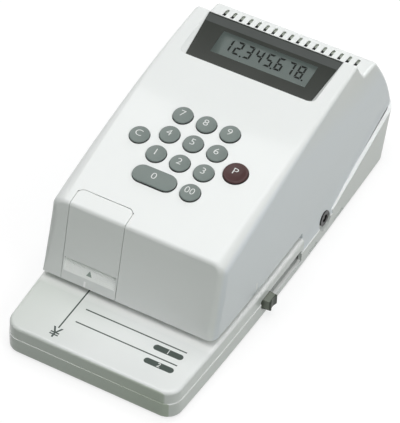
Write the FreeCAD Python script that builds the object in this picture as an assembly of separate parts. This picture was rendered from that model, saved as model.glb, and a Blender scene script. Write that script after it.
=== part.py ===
import FreeCAD, Part
import math
import os
from FreeCAD import Vector as V, Rotation, Placement

os.makedirs("parts", exist_ok=True)

# Electronic check writer.  Working frame, in millimetres: x across the machine
# from its centre plane, y back from the tray's front edge, z up from the flat
# underside of the lower shell.  save() moves every piece so that the origin is
# under the middle of the overall box, on the plane the feet stand on.

# ---- driving dimensions ----------------------------------------------------
LENGTH = 276.0          # front edge of the tray to the rear lip
HALF_W = 62.9           # half width of the base where it is widest
Y_WIDE = 165.0          # where that is
NARROW_F = 5.4          # how much narrower each side is at the front edge
NARROW_R = 0.9          # and at the rear lip
WALL = 2.4              # moulded wall thickness
FOOT = 1.0              # how far the feet stand below the shell
MID_X, MID_Y = 2.1, 137.785     # middle of the overall box; the guide knob counts

Z_SEAM = 11.5           # joint between lower shell and tray
Z_DECK = 20.8           # top of the tray, the lower side of the paper throat
Z_CEIL = 25.2           # underside of the housing, the upper side of the throat
Y_NOSE = 45.0           # bottom front edge of the housing
Y_BACK = 151.0          # blind end of the throat
LEDGE = 1.8             # how far the base stands out beyond the housing
RIM = 0.4               # tray edge set back from the rim of the lower shell
SEAM_Y = 189.0          # behind here the seam climbs towards the rear
SEAM_STEP = 14.5        # height of the seam just behind the power inlet
SEAM_REAR = 38.3        # and at the rear lip

TOP_LINE = [(40, 73.6), (60, 78.2), (100, 86.2), (140, 93.1), (180, 98.4), (224.3, 102.2)]
VALLEY = (235.2, 85.8)  # foot of the drop behind the display
SHELF = (251.8, 84.8)   # rear edge of the vent shelf
REAR_LINE = [(255.5, 79.0), (263.0, 66.0), (268.6, 53.5), (272.8, 42.0), (274.8, 34.0),
             (275.4, 24.0), (275.6, 8.0)]
NOSE_LEAN = 0.219       # front face, set back per unit of height

# keypad
KEY_PITCH = 16.0
KEY_TILT = 10.0         # degrees
KEY_X, KEY_Y, KEY_Z = -1.65, 108.2, 89.1    # top of the "2" key
KEY_R = 6.2
KEY_TRAVEL = 1.3

# display
WIN_Y0, WIN_Z0, WIN_HALF0 = 185.0, 95.3, 42.8
WIN_Y1, WIN_Z1, WIN_HALF1 = 223.4, 101.9, 46.4

# print station
TYPE_X, TYPE_Y, TYPE_Z, TYPE_R = -28.0, 94.0, 36.0, 13.6
INK_Y, INK_Z, INK_R = 72.3, 43.9, 9.0
IDLER_Y, IDLER_Z = 109.2, 44.77
MOTOR_Y, MOTOR_Z = 115.45, 55.65
FEED_X, FEED_R = 8.0, 7.0
FEED_Z = Z_DECK - FEED_R + 0.4
DRIVE_X, DRIVE_Z = 13.3, 10.4           # shaft of the feed motor
PINCH_Z = 26.7
ARM_X, ARM_Z = 22.0, 33.0               # pivot of the pinch arm

# ink cover, hinged along its rear top edge
COV_X0, COV_X1 = -45.4, -8.4
COV_Y = 68.7
COV_SWING = 3.6         # hinge axis to the flap's rear edge
PULL_DEPTH = 2.7        # finger pull, undercut at its top
GAP = 0.35


# ---- small helpers -----------------------------------------------------------
def box(x0, x1, y0, y1, z0, z1):
    return Part.makeBox(x1 - x0, y1 - y0, z1 - z0, V(x0, y0, z0))


def cyl_x(r, x0, x1, y, z):
    return Part.makeCylinder(r, x1 - x0, V(x0, y, z), V(1, 0, 0))


def cyl_y(r, y0, y1, x, z):
    return Part.makeCylinder(r, y1 - y0, V(x, y0, z), V(0, 1, 0))


def cyl_z(r, z0, z1, x, y):
    return Part.makeCylinder(r, z1 - z0, V(x, y, z0), V(0, 0, 1))


def plate_yz(points, x0, x1):
    """Solid with a side profile given as (y, z) corners, from x0 to x1."""
    corners = [V(x0, y, z) for y, z in points]
    face = Part.Face(Part.makePolygon(corners + corners[:1]))
    return face.extrude(V(x1 - x0, 0, 0))


def fuse(shapes):
    shapes = list(shapes)
    out = shapes[0]
    if len(shapes) > 1:
        out = out.multiFuse(shapes[1:])
    return out.removeSplitter()


def cut(shape, tools):
    tools = list(tools)
    return shape.cut(tools[0]) if len(tools) == 1 else shape.cut(fuse_raw(tools))


def fuse_raw(tools):
    out = tools[0]
    return out.multiFuse(tools[1:]) if len(tools) > 1 else out


def pick(shape, test):
    """Edges whose bounding box passes the test."""
    return [e for e in shape.Edges if test(e.BoundBox)]


def rounded(shape, radius, test):
    """Fillet the edges that pass the test."""
    edges = pick(shape, test)
    return shape.makeFillet(radius, edges) if edges else shape


def chamfered(shape, size, test):
    """Break the edges that pass the test with a small flat."""
    edges = pick(shape, test)
    return shape.makeChamfer(size, edges) if edges else shape


def slot_z(x0, x1, y0, y1, z0, z1):
    """Upright cutter with round ends along its longer side."""
    wx, wy = x1 - x0, y1 - y0
    r = min(wx, wy) / 2
    if wy >= wx:
        xm = (x0 + x1) / 2
        return fuse([box(x0, x1, y0 + r, y1 - r, z0, z1),
                     cyl_z(r, z0, z1, xm, y0 + r), cyl_z(r, z0, z1, xm, y1 - r)])
    ym = (y0 + y1) / 2
    return fuse([box(x0 + r, x1 - r, y0, y1, z0, z1),
                 cyl_z(r, z0, z1, x0 + r, ym), cyl_z(r, z0, z1, x1 - r, ym)])


def gear(teeth, module, width, bore):
    """Spur gear along +x from x = 0, with straight-flanked teeth."""
    r_tip = module * (teeth / 2 + 0.75)
    r_root = module * (teeth / 2 - 1.05)
    pts = []
    for i in range(teeth):
        for part, r in ((-0.27, r_root), (-0.13, r_tip), (0.13, r_tip), (0.27, r_root)):
            a = 2 * math.pi * (i + part) / teeth
            pts.append(V(0, r * math.cos(a), r * math.sin(a)))
    body = Part.Face(Part.makePolygon(pts + pts[:1])).extrude(V(width, 0, 0))
    return body.cut(cyl_x(bore, -1, width + 1, 0, 0))


def save(name, *shapes):
    """Write one named piece as STEP, in the hand-over frame."""
    solids = []
    for shape in shapes:
        solids += shape.Solids
    out = Part.makeCompound(solids) if len(solids) > 1 else solids[0].copy()
    out.translate(V(-MID_X, -MID_Y, FOOT))
    out.exportStep("parts/%s.step" % name)


# ---- outer form ----------------------------------------------------------------
def base_half(y):
    """Half width of the base: a shallow boat shape, widest at Y_WIDE."""
    if y < Y_WIDE:
        return HALF_W - NARROW_F * ((Y_WIDE - y) / Y_WIDE) ** 2
    return HALF_W - NARROW_R * ((y - Y_WIDE) / (LENGTH - Y_WIDE)) ** 2


def house_half(y, z):
    """Half width of the housing: draft grows rearwards, the foot flares out."""
    draft = 0.044 * min(max((y - 55) / 165.0, 0), 1)
    flare = 0.0
    if z < Z_CEIL:
        flare = 1.4 * ((Z_CEIL - z) / (Z_CEIL - Z_SEAM)) ** 2
    return base_half(y) - LEDGE - draft * (z - Z_SEAM) + flare


def plan(front, rear, z, half):
    """Plan outline with sharp corners and curved sides at height z."""
    ys = [front + (rear - front) * i / 8.0 for i in range(9)]
    right = Part.BSplineCurve()
    right.interpolate([V(half(y), y, z) for y in ys])
    left = Part.BSplineCurve()
    left.interpolate([V(-half(y), y, z) for y in reversed(ys)])
    return Part.Wire([
        Part.makeLine(V(-half(front), front, z), V(half(front), front, z)), right.toShape(),
        Part.makeLine(V(half(rear), rear, z), V(-half(rear), rear, z)), left.toShape()])


def boat(inset, front, rear, z0, z1, rear_top=None, r_front=10.0, r_rear=8.5):
    """Upright body with the base's plan shape and rounded corners."""
    half = lambda y: base_half(y) - inset
    high = plan(front, rear if rear_top is None else rear_top, z1, half)
    body = Part.makeLoft([plan(front, rear, z0, half), high], True, True)
    tall = (z1 - z0) * 0.9
    body = rounded(body, r_front, lambda b: b.ZLength > tall and b.YMax < front + 3)
    if r_rear:
        body = rounded(body, r_rear, lambda b: b.ZLength > tall and b.YMin > rear - 3)
    return body


def above_seam(lift=0.0):
    """Everything above the seam between the lower shell and the upper parts."""
    y_end = LENGTH + 12
    climb = (SEAM_REAR - SEAM_STEP) / (LENGTH - SEAM_Y)
    z_end = SEAM_STEP + climb * (y_end - SEAM_Y)
    return plate_yz([(-20, Z_SEAM + lift), (SEAM_Y, Z_SEAM + lift), (SEAM_Y, SEAM_STEP + lift),
                     (y_end, z_end + lift), (y_end, 160), (-20, 160)], -90, 90)


def side_profile(drop, radii):
    """Side view of the housing with the throat left open, as a bar across x.

    drop moves the top and rear surfaces inwards; radii are those of the crest
    behind the display, of the foot of the drop and of the vent shelf's rear edge.
    """
    z_low = Z_CEIL + drop
    crest, foot, shelf_r = radii
    top = [V(-80, y, z - drop) for y, z in TOP_LINE]
    top[-1] = V(-80, TOP_LINE[-1][0] - 0.55 * drop, TOP_LINE[-1][1] - drop)
    valley = V(-80, VALLEY[0] - 0.55 * drop, VALLEY[1] - drop)
    shelf = V(-80, SHELF[0] - 0.5 * drop, SHELF[1] - drop)
    rear = [V(-80, y - drop, z) for y, z in REAR_LINE]
    crown = Part.BSplineCurve()
    crown.interpolate(top)
    back = Part.BSplineCurve()
    back.interpolate(Points=rear, InitialTangent=(rear[0] - shelf).normalize(),
                     FinalTangent=V(0, 0, -1))
    corners = [rear[-1], V(-80, Y_BACK + drop, rear[-1].z), V(-80, Y_BACK + drop, z_low),
               V(-80, top[0].y, z_low), top[0]]
    edges = [crown.toShape(), Part.makeLine(top[-1], valley), Part.makeLine(valley, shelf),
             Part.makeLine(shelf, rear[0]), back.toShape()]
    edges += [Part.makeLine(a, b) for a, b in zip(corners, corners[1:])]
    bar = Part.Face(Part.Wire(edges)).extrude(V(160, 0, 0))
    for point, radius in ((top[-1], crest), (valley, foot), (shelf, shelf_r)):
        bar = rounded(bar, radius, lambda b: b.XLength > 150 and abs(b.YMin - point.y) < 0.1
                      and abs(b.ZMin - point.z) < 0.1)
    return bar


def nose_y(z):
    return Y_NOSE + (z - Z_CEIL) * NOSE_LEAN


def vary(shape, table):
    """Fillet with a radius that changes along each edge."""
    doc = FreeCAD.newDocument("fillet")
    base = doc.addObject("Part::Feature", "base")
    base.Shape = shape
    item = doc.addObject("Part::Fillet", "fillet")
    item.Base = base
    item.Edges = table
    doc.recompute()
    out = item.Shape.copy()
    FreeCAD.closeDocument(doc.Name)
    return out


def radii_along(shape, test, low, high, key):
    """Table rows for vary(): radius low where key is smallest, high where largest."""
    rows = []
    for i, edge in enumerate(shape.Edges):
        if test(edge.BoundBox):
            a = key(edge.valueAt(edge.FirstParameter))
            b = key(edge.valueAt(edge.LastParameter))
            rows.append((i + 1, low, high) if a < b else (i + 1, high, low))
    return rows


def house_form(inset, flank, nose, profile_radii):
    """Outer or inner form: leaning nose, arched top, stepped rear, flared foot."""
    f_front, f_rear = flank
    n_top, n_mid, n_low = nose
    wires = [plan(nose_y(z) + inset, LENGTH + 6, z, lambda y: house_half(y, z) - inset)
             for z in (7.0, 16.0, Z_CEIL, 60.0, 106.0)]
    body = Part.makeLoft(wires, True, False).common(side_profile(inset, profile_radii))
    body = body.removeSplitter()
    body = vary(body, radii_along(body, lambda b: b.XLength < 6 and b.YLength > 100 and b.ZMin > 70,
                                  f_front, f_rear, lambda p: p.y))
    rows = radii_along(body, lambda b: b.YMax < 66 and b.XLength < 20 and b.ZLength > 30,
                       n_low, n_mid, lambda p: p.z)
    if n_top:
        rows += radii_along(body, lambda b: b.YMax < 66 and 90 < b.XLength and b.ZMin > 60,
                            n_top, n_top, lambda p: p.x)
        rows += radii_along(body, lambda b: b.YMax < 66 and b.XLength < 20 and b.ZLength < 20,
                            n_mid, n_top, lambda p: p.z)
    return vary(body, rows)


# ---- frames of the tilted parts ---------------------------------------------------
def tilt(shape, x, y, z, degrees):
    """Place a piece modelled flat at the origin onto a plane that rises rearwards."""
    out = shape.copy()
    out.Placement = Placement(V(x, y, z), Rotation(V(1, 0, 0), degrees))
    return out


def on_keys(shape, col, row):
    """Place a flat piece at a key position; column 0, row 0 is the 2 key."""
    along = row * 16.1
    a = math.radians(KEY_TILT)
    return tilt(shape, KEY_X + col * KEY_PITCH, KEY_Y + along * math.cos(a),
                KEY_Z + along * math.sin(a), KEY_TILT)


def window_block(grow, front, back, low, high, flare=0.0, corner=0.0):
    """Trapezoid block on the display plane; front and back move its short ends.

    flare leans the sides outwards and corner rounds the two front corners.
    """
    length = math.hypot(WIN_Y1 - WIN_Y0, WIN_Z1 - WIN_Z0)
    slope = (WIN_HALF1 - WIN_HALF0) / length
    wires = []
    for level, wide in ((low, 0.0), (high, flare)):
        corners = []
        for sx, s in ((-1, front), (1, front), (1, length + back), (-1, length + back)):
            corners.append(V(sx * (WIN_HALF0 + slope * s + grow + wide), s, level))
        wires.append(Part.makePolygon(corners + corners[:1]))
    block = Part.makeLoft(wires, True, True)
    if corner:
        block = rounded(block, corner, lambda b: b.ZLength > 0.9 * (high - low) and b.YMax < 9)
    angle = math.degrees(math.atan2(WIN_Z1 - WIN_Z0, WIN_Y1 - WIN_Y0))
    return tilt(block, 0, WIN_Y0, WIN_Z0, angle)


KEYS = [("key_7", -1, 2), ("key_8", 0, 2), ("key_9", 1, 2), ("key_4", -1, 1), ("key_5", 0, 1),
        ("key_6", 1, 1), ("key_1", -1, 0), ("key_2", 0, 0), ("key_3", 1, 0), ("key_0", -0.5, -1),
        ("key_00", 1, -1), ("key_clear", -2, 0.5), ("key_print", 2.06, 0.5)]


KEY_POSTS = [(-40.5, -17.0), (37.5, -17.0), (-40.5, 37.0), (37.5, 37.0)]


def key_plan(name, r_extra, z0, z1):
    """Plan shape of a key as an upright block: round, large round or long."""
    r = KEY_R + r_extra
    if name == "key_0":
        return slot_z(-8.0 - r, 8.0 + r, -r, r, z0, z1)
    if name == "key_print":
        r += 1.4
    return cyl_z(r, z0, z1, 0, 0)


def make_key(name):
    """Key cap with retaining flange and a stem that meets the rubber dome."""
    cap = key_plan(name, 0.0, -5.4, 0.0)
    cap = rounded(cap, 0.7, lambda b: b.ZMin > -0.1)
    dish = Part.makeSphere(34.0, V(0, 0, 33.45))
    if name == "key_0":
        dish = Part.makeCylinder(34.0, 40, V(-20, 0, 33.45), V(1, 0, 0))
    cap = cap.cut(dish)
    flange = key_plan(name, 0.9, -5.9, -4.7)
    stem = cyl_z(2.2, -7.7, -5.9, 0, 0)
    hollow = key_plan(name, -1.6, -6.0, -2.0).cut(cyl_z(2.2, -7, 0, 0, 0))
    return fuse([cap, flange, stem]).cut(hollow)


# ---- printing and feeding parts shared by several pieces ---------------------------
def screw(x, y, z, length, head_r=2.6, head_h=1.8, shank_r=1.25):
    """Cross-head screw pointing up, with the head's bearing face at z."""
    head = Part.makeCone(head_r - 0.5, head_r, head_h, V(x, y, z - head_h))
    slot = box(x - 1.6, x + 1.6, y - 0.3, y + 0.3, z - head_h - 1, z - head_h + 0.9)
    cross = [slot, box(x - 0.3, x + 0.3, y - 1.6, y + 1.6, z - head_h - 1, z - head_h + 0.9)]
    return cut(fuse([head, cyl_z(shank_r, z, z + length, x, y)]), cross)


CASE_SCREWS = [(-44.0, 32.0), (44.0, 32.0), (-49.0, 166.0), (49.0, 166.0), (-46.0, 250.0),
               (46.0, 250.0)]
FEET = [(-44.0, 17.0), (44.0, 17.0), (-45.0, 238.0), (45.0, 238.0)]
BOARD_POSTS = [(-38.0, 172.0), (38.0, 172.0), (-38.0, 238.0), (38.0, 238.0)]
BAY = (-53.4, 53.4, 192.0, 225.0)       # battery bay, x0, x1, y0, y1
DOOR_AXIS = (227.3, 0.75)               # hinge of the battery door, y and z
SLOT = (98.0, 148.0, 5.0, 14.2)         # guide slot in the right side, y0, y1, z0, z1
JACK = (179.5, 12.2, 7.0)               # power inlet recess, y, z, r
INLET = (180.5, 13.5, 5.3)              # the inlet itself, set high in its recess


def side_slot():
    """Cutter for the paper guide's slot in the right side of the base."""
    y0, y1, z0, z1 = SLOT
    cutter = box(50, 70, y0, y1, z0, z1)
    return rounded(cutter, 1.5, lambda b: b.XLength > 10)


def inlet_recess(r=None):
    y, z, radius = JACK
    return cyl_x(r or radius, 59.3, 70, y, z)


def inlet_pad(outer):
    """Thick ring inside the wall that forms the recess for the power inlet."""
    y, z, r = JACK
    return cyl_x(r + 1.8, 55.5, 63, y, z).common(outer)


# ---- static pieces ---------------------------------------------------------------
def lower_shell():
    outer = boat(0, 0, 265.5, 0, 48, rear_top=278.2)
    outer = outer.cut(above_seam(-0.12))
    outer = rounded(outer, 1.4, lambda b: b.ZMax < 0.1)
    inner = boat(WALL, WALL, 263.3, WALL, 60, rear_top=279.2, r_front=7.6, r_rear=6.1)
    shell = outer.cut(inner)
    room = outer.common(boat(WALL - 0.4, WALL - 0.4, 263.7, 1.0, 60, rear_top=279.6))
    add = []
    for x, y in CASE_SCREWS:
        add.append(cyl_z(4.2, 1, Z_SEAM - 0.2 if y < 100 else 15.0, x, y))
    for x, y in BOARD_POSTS:
        add.append(cyl_z(3.2, 1, 30.0, x, y))
    x0, x1, y0, y1 = BAY
    bay = box(x0 - 1.6, x1 + 1.6, y0 - 1.6, y1 + 1.6, 1, 19.5)
    add.append(bay.cut(box(x0, x1, y0, y1, 0, 17.9)))
    for y in (84.0, 104.0):                       # bearings of the feed shaft
        add.append(box(2.5, 13.5, y, y + 2, 1, 17.6))
    for y in (61.0, 70.0):                        # cradle of the feed motor
        add.append(box(DRIVE_X - 9, DRIVE_X + 9, y, y + 2, 1, DRIVE_Z)
                   .cut(cyl_y(7.55, 50, 80, DRIVE_X, DRIVE_Z)))
    for x in (-36.0, -23.0):                      # bearings of the print hammer
        add.append(box(x, x + 3.0, 108, 116, 1, 16.0))
    y0, y1, z0, z1 = SLOT                         # channel behind the guide slot
    add.append(box(55.4, 57.0, y0 - 3, y1 + 2.4, 1, 8.1))
    add.append(box(57.0, 61, y0 - 3, y1 + 2.4, 1, z0 - 0.2))
    for y in (50.0, 130.0):                       # floor ribs
        add.append(box(-56, 56, y, y + 1.6, 1, 6.5))
    for x in (-30.0, 30.0):
        add.append(box(x, x + 1.6, 2, 100, 1, 5.0))
    add.append(inlet_pad(outer))
    shell = fuse([shell] + [a.common(room) for a in add])
    tools = [side_slot(), inlet_recess(), cyl_x(INLET[2] + 0.1, 50, 62, *INLET[:2])]
    for x, y in CASE_SCREWS:
        tools += [cyl_z(3.0, -1, 5.0, x, y), cyl_z(1.5, 4, 30, x, y)]
    for x, y in BOARD_POSTS:
        tools.append(cyl_z(1.3, 20, 40, x, y))
    for x, y in FEET:
        tools.append(cyl_z(6.2, -1, 1.2, x, y))
    tools.append(cyl_y(2.05, 80, 110, FEED_X, FEED_Z))
    tools.append(cyl_x(1.5, -40, -15, 112, 13))
    # opening and rebate for the battery door
    x0, x1, y0, y1 = BAY
    tools.append(box(x0, x1, y0, y1, -1, 5))
    tools.append(box(x0 - 1.2, x1 + 1.2, y0 - 1.2, y1 + 3.4, -1, 1.6))
    tools.append(cyl_x(0.55, x0 - 2.6, x1 + 2.6, DOOR_AXIS[0], DOOR_AXIS[1]))
    for y0, y1 in ((157.5, 168.5), (192.5, 203.5)):      # small finger notches low on the sides
        for s in (-1, 1):
            xs = sorted((s * 62.0, s * 70))
            tools.append(box(xs[0], xs[1], y0, y1, 2.2, 4.6))
    tools.append(box(-9, 9, 100, 118, -1, 0.5))          # bare panel for a rating plate
    return cut(shell, tools)


def tray_deck():
    outer = boat(RIM, RIM, Y_BACK - 0.1, Z_SEAM, Z_DECK, r_rear=0)
    outer = rounded(outer, 2.2, lambda b: b.ZMin > Z_DECK - 0.1 and b.YMin < Y_BACK - 1)
    inner = boat(WALL, WALL, Y_BACK - WALL, Z_SEAM - 5, Z_DECK - 2.5, r_front=7.6, r_rear=0)
    deck = outer.cut(inner)
    y0, y1, z0, z1 = SLOT
    add = [box(55.4, 57.0, y0 - 3, y1 + 0.6, 12.5, 19), box(57, 60.5, y0 - 3, y1 + 0.6, z1, 19)]
    for x, y in CASE_SCREWS[:2]:
        add.append(cyl_z(4.2, Z_SEAM, 19, x, y))
    for x in (-16.0, 26.0):
        add.append(box(x, x + 1.6, 2, 84, 15.5, 19))
    deck = fuse([deck] + [a.common(outer) for a in add])
    tools = [side_slot(), box(FEED_X - 6.4, FEED_X + 6.4, 87.2, 100.8, 10, 30),
             box(TYPE_X - 4.4, TYPE_X + 4.4, TYPE_Y - 4.0, TYPE_Y + 4.0, 10, 30)]
    for x in (-36.0, 47.7):
        tools.append(slot_z(x - 1.8, x + 1.8, 103.4, 146.8, 10, 30))
    for x, y in CASE_SCREWS[:2]:
        tools.append(cyl_z(1.3, 5, 17.0, x, y))
    return cut(deck, tools)


def cover_region(grow):
    """Plan of the ink cover as a tall block; its rear corners are rounded."""
    block = box(COV_X0 - grow, COV_X1 + grow, 30, COV_Y + grow, 15, 100)
    return rounded(block, COV_SWING + grow, lambda b: b.ZLength > 80 and b.YMin > 60)


def housing_walls():
    """Housing shell before its openings are cut, and its solid outer form."""
    outer = house_form(0.0, (9.0, 2.1), (3.0, 5.5, 1.0), (2.4, 5.0, 4.0))
    inner = house_form(WALL, (6.6, 1.1), (0, 4.0, 2.0), (1.4, 2.0, 2.0))
    return outer.cut(inner), outer


def cover_axis():
    """Hinge axis of the ink cover, just under the skin at its rear edge."""
    y = COV_Y - COV_SWING
    crown = Part.BSplineCurve()
    crown.interpolate([V(0, a, b) for a, b in TOP_LINE])
    plane = Part.Plane(V(0, y, 0), V(0, 1, 0))
    hit = crown.intersect(plane)[0][0]
    return y, hit.Z - 1.5


def cover_tail(grow):
    """The room that the flap's rear edge needs as it turns, as a body about the axis."""
    y, z = cover_axis()
    r = COV_SWING + grow
    x0, x1 = COV_X0 + COV_SWING, COV_X1 - COV_SWING
    return fuse_raw([cyl_x(r, x0, x1, y, z)] + [Part.makeSphere(r, V(x, y, z)) for x in (x0, x1)])


def top_housing(walls, outer):
    add = []
    tub = window_block(2.6, -2.6, 1.0, -4.4, 1.0).common(outer)
    add.append(tub)
    for x, y in CASE_SCREWS[2:]:
        post = cyl_z(4.4, 15.1, 100, x, y)
        rib = box(min(x, x * 1.15), max(x, x * 1.15), y - 0.8, y + 0.8, 26, 100)
        add.append(fuse([post, rib]).common(outer))
    add.append(inlet_pad(outer))
    for x, y in KEY_POSTS:
        add.append(on_keys(cyl_z(2.6, -11.55, 0, x, y), 0, 0).common(outer))
    y, z = cover_axis()
    for x0, x1 in ((COV_X0 - 3.4, COV_X0 - GAP), (COV_X1 + GAP, COV_X1 + 3.4)):
        add.append(fuse([cyl_x(2.6, x0, x1, y, z - 0.6),
                         box(x0, x1, y - 2.6, y + 2.6, z - 0.6, z + 3)]).common(outer))
    for y0 in (82.0, 104.0):                       # brackets of the pinch arm's pivot
        add.append(box(ARM_X - 3.5, ARM_X + 3.5, y0, y0 + 2.0, Z_CEIL + 1, ARM_Z + 3.2))
    house = fuse([walls] + add)
    tools = [cover_region(GAP).cut(box(-90, 90, 20, 90, 0, Z_CEIL + 4.5)
                                   .cut(box(-90, 90, 20, nose_y(30) + 4.6, 0, 90)))
             .cut(box(-90, 90, y, 90, 0, 110)), cover_tail(GAP),
             cyl_x(2.3, COV_X0 - GAP, COV_X1 + GAP, y, z),
             window_block(0, 0, 3.5, 0, 9, 8.4, 4.0),
             window_block(0.05, 0, 0.05, -2.15, 0.1, 0, 4.0),
             window_block(-4, 4, -3, -14, 0.1),
             box(FEED_X - 6.6, FEED_X + 9.6, 84.4, 102.8, 20, 30),
             cyl_y(1.55, 80, 108, ARM_X, ARM_Z),
             box(TYPE_X - 4.2, TYPE_X + 4.2, TYPE_Y - 12.4, TYPE_Y + 12.4, 20, 30),
             inlet_recess(), cyl_x(INLET[2] + 0.1, 50, 62, *INLET[:2])]
    tools.append(cyl_x(1.04, COV_X0 - 2.6, COV_X0 + 1, y, z))
    tools.append(cyl_x(1.04, COV_X1 - 1, COV_X1 + 2.6, y, z))
    for name, col, row in KEYS:
        tools.append(on_keys(key_plan(name, 0.35, -9.0, 9.0), col, row))
    for i in range(17):                                   # vent slots in the rear shelf
        x = (i - 8) * 5.75
        tools.append(slot_z(x - 1.05, x + 1.05, 236.4, 248.4, SHELF[1] - 1.2, 92))
        tools.append(box(x - 1.05, x + 1.05, 237.4, 242.2, 78, 92))
    for x, y in CASE_SCREWS[2:]:
        tools.append(cyl_z(1.3, 10, 24, x, y))
    for x, y in KEY_POSTS:
        tools.append(on_keys(cyl_z(1.3, -14, -6.2, x, y), 0, 0))
    tools.append(slot_x(-70, -50, 196.0, 206.6, 22.4, 26.0))      # power switch
    house = cut(house, tools)
    return house.common(above_seam())


def slot_x(x0, x1, y0, y1, z0, z1):
    """Cutter across a side wall with round ends along y."""
    r = (z1 - z0) / 2
    zm = (z0 + z1) / 2
    return fuse([box(x0, x1, y0 + r, y1 - r, z0, z1), cyl_x(r, x0, x1, y0 + r, zm),
                 cyl_x(r, x0, x1, y1 - r, zm)])


def ink_cover(walls):
    """Flap over the ink cassette, with stub pins, two gussets and a finger pull."""
    y, z = cover_axis()
    flap = walls.common(cover_region(0))
    flap = flap.cut(box(-90, 90, nose_y(28) + WALL + 0.4, 90, 0, Z_CEIL + 5.2))
    flap = flap.cut(box(-90, 90, y, 90, 60, 100).cut(cover_tail(0)))   # turns in place
    front = lambda height, depth: (nose_y(height) + depth, height)
    pad = plate_yz([front(28.5, 1.6), front(43.5, 1.6), front(43.5, 5.2), front(28.5, 3.0)],
                   COV_X0 + 0.6, COV_X1 - 0.6)
    pull = plate_yz([front(41.0, -2.0), front(41.0, PULL_DEPTH), front(31.5, 0.0),
                     front(31.5, -2.0)], COV_X0 + 0.9, COV_X1 - 0.9)
    gusset = plate_yz([front(43, 2), front(43, 5.2), front(66, 5.5), (y - 2, z - 5.0),
                       (y - 2, z - 0.5), front(70, 2)], 0, 1.4)
    pins = [cyl_x(1.5, COV_X0, COV_X1, y, z), cyl_x(1.0, COV_X0 - 2.3, COV_X1 + 2.3, y, z)]
    ribs = []
    for x in (COV_X0 + 2.0, COV_X1 - 3.4):
        rib = gusset.copy()
        rib.translate(V(x, 0, 0))
        ribs.append(rib)
    return fuse([flap, pad] + pins + ribs).cut(pull)


# ---- display --------------------------------------------------------------------
LCD = (0.0, 208.5, 93.9, 25.0)          # centre of the glass face and its tilt


def on_lcd(x0, x1, y0, y1, z0, z1):
    return tilt(box(x0, x1, y0, y1, z0, z1), *LCD)


def display_window():
    return window_block(-0.15, 0.15, -0.15, -2.1, -0.05, 0, 3.8)


def lcd_holder():
    frame = on_lcd(-36, 36, -10.3, 10.3, -5.0, -0.1)
    wings = [on_lcd(-40, -36, -3, 3, -5.0, -3.4), on_lcd(36, 40, -3, 3, -5.0, -3.4)]
    pocket = on_lcd(-34.1, 34.1, -9.3, 9.3, -2.1, 1)
    light = on_lcd(-31, 31, -7, 7, -6, 0)
    return fuse([frame] + wings).cut(fuse_raw([pocket, light]))


# ---- keypad -----------------------------------------------------------------------
def key_mat():
    sheet = box(-42, 42, -22, 39.5, -11.5, -10.6)
    for x, y in KEY_POSTS:
        sheet = sheet.cut(cyl_z(3.0, -14, 0, x, y))
    domes = []
    for name, col, row in KEYS:
        dome = Part.makeCone(4.2, 3.0, 1.4, V(col * KEY_PITCH, row * 16.1, -10.7))
        domes.append(dome)
    return on_keys(fuse([sheet] + domes), 0, 0)


def key_board():
    board = box(-43.5, 42.5, -23, 41, -13.2, -11.6)
    holes = [cyl_z(1.3, -20, 0, x, y) for x, y in KEY_POSTS]
    return on_keys(cut(board, holes), 0, 0)


# ---- print station ------------------------------------------------------------------
def turned(shape, phase, x, y, z):
    """Turn a piece about +x by phase degrees and move it to its shaft."""
    out = shape.copy()
    out.Placement = Placement(V(x, y, z), Rotation(V(1, 0, 0), phase))
    return out


def mesh_phase(phase, teeth, partner, angle):
    """Phase of a gear that meshes with one of the given phase, at the given angle from it."""
    lead = (phase - angle) % (360.0 / teeth)
    return angle + 180 - lead * teeth / partner + 180.0 / partner


def print_train():
    """Phases of the type wheel gear, the idler and the motor pinion."""
    up = math.degrees(math.atan2(IDLER_Z - TYPE_Z, IDLER_Y - TYPE_Y))
    idler = mesh_phase(0.0, 30, 40, up)
    up = math.degrees(math.atan2(MOTOR_Z - IDLER_Z, MOTOR_Y - IDLER_Y))
    return 0.0, idler, mesh_phase(idler, 40, 10, up)


def type_wheel():
    """Wheel with thirteen raised character blocks, left plain."""
    wheel = fuse([cyl_x(12.4, -3, 3, 0, 0).cut(cyl_x(10.4, -4, -1.2, 0, 0))
                  .cut(cyl_x(10.4, 1.2, 4, 0, 0)), cyl_x(4.4, -4.4, 4.4, 0, 0)])
    slugs = []
    for i in range(13):
        slug = box(-2.0, 2.0, 12.0, TYPE_R, -1.9, 1.9)
        slugs.append(turned(slug, i * 360.0 / 13, 0, 0, 0))
    wheel = fuse([wheel] + slugs).cut(cyl_x(2.02, -6, 6, 0, 0))
    holes = [turned(cyl_x(2.2, -6, 6, 7.3, 0), i * 72, 0, 0, 0) for i in range(5)]
    return turned(cut(wheel, holes), 0, TYPE_X, TYPE_Y, TYPE_Z)


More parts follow.
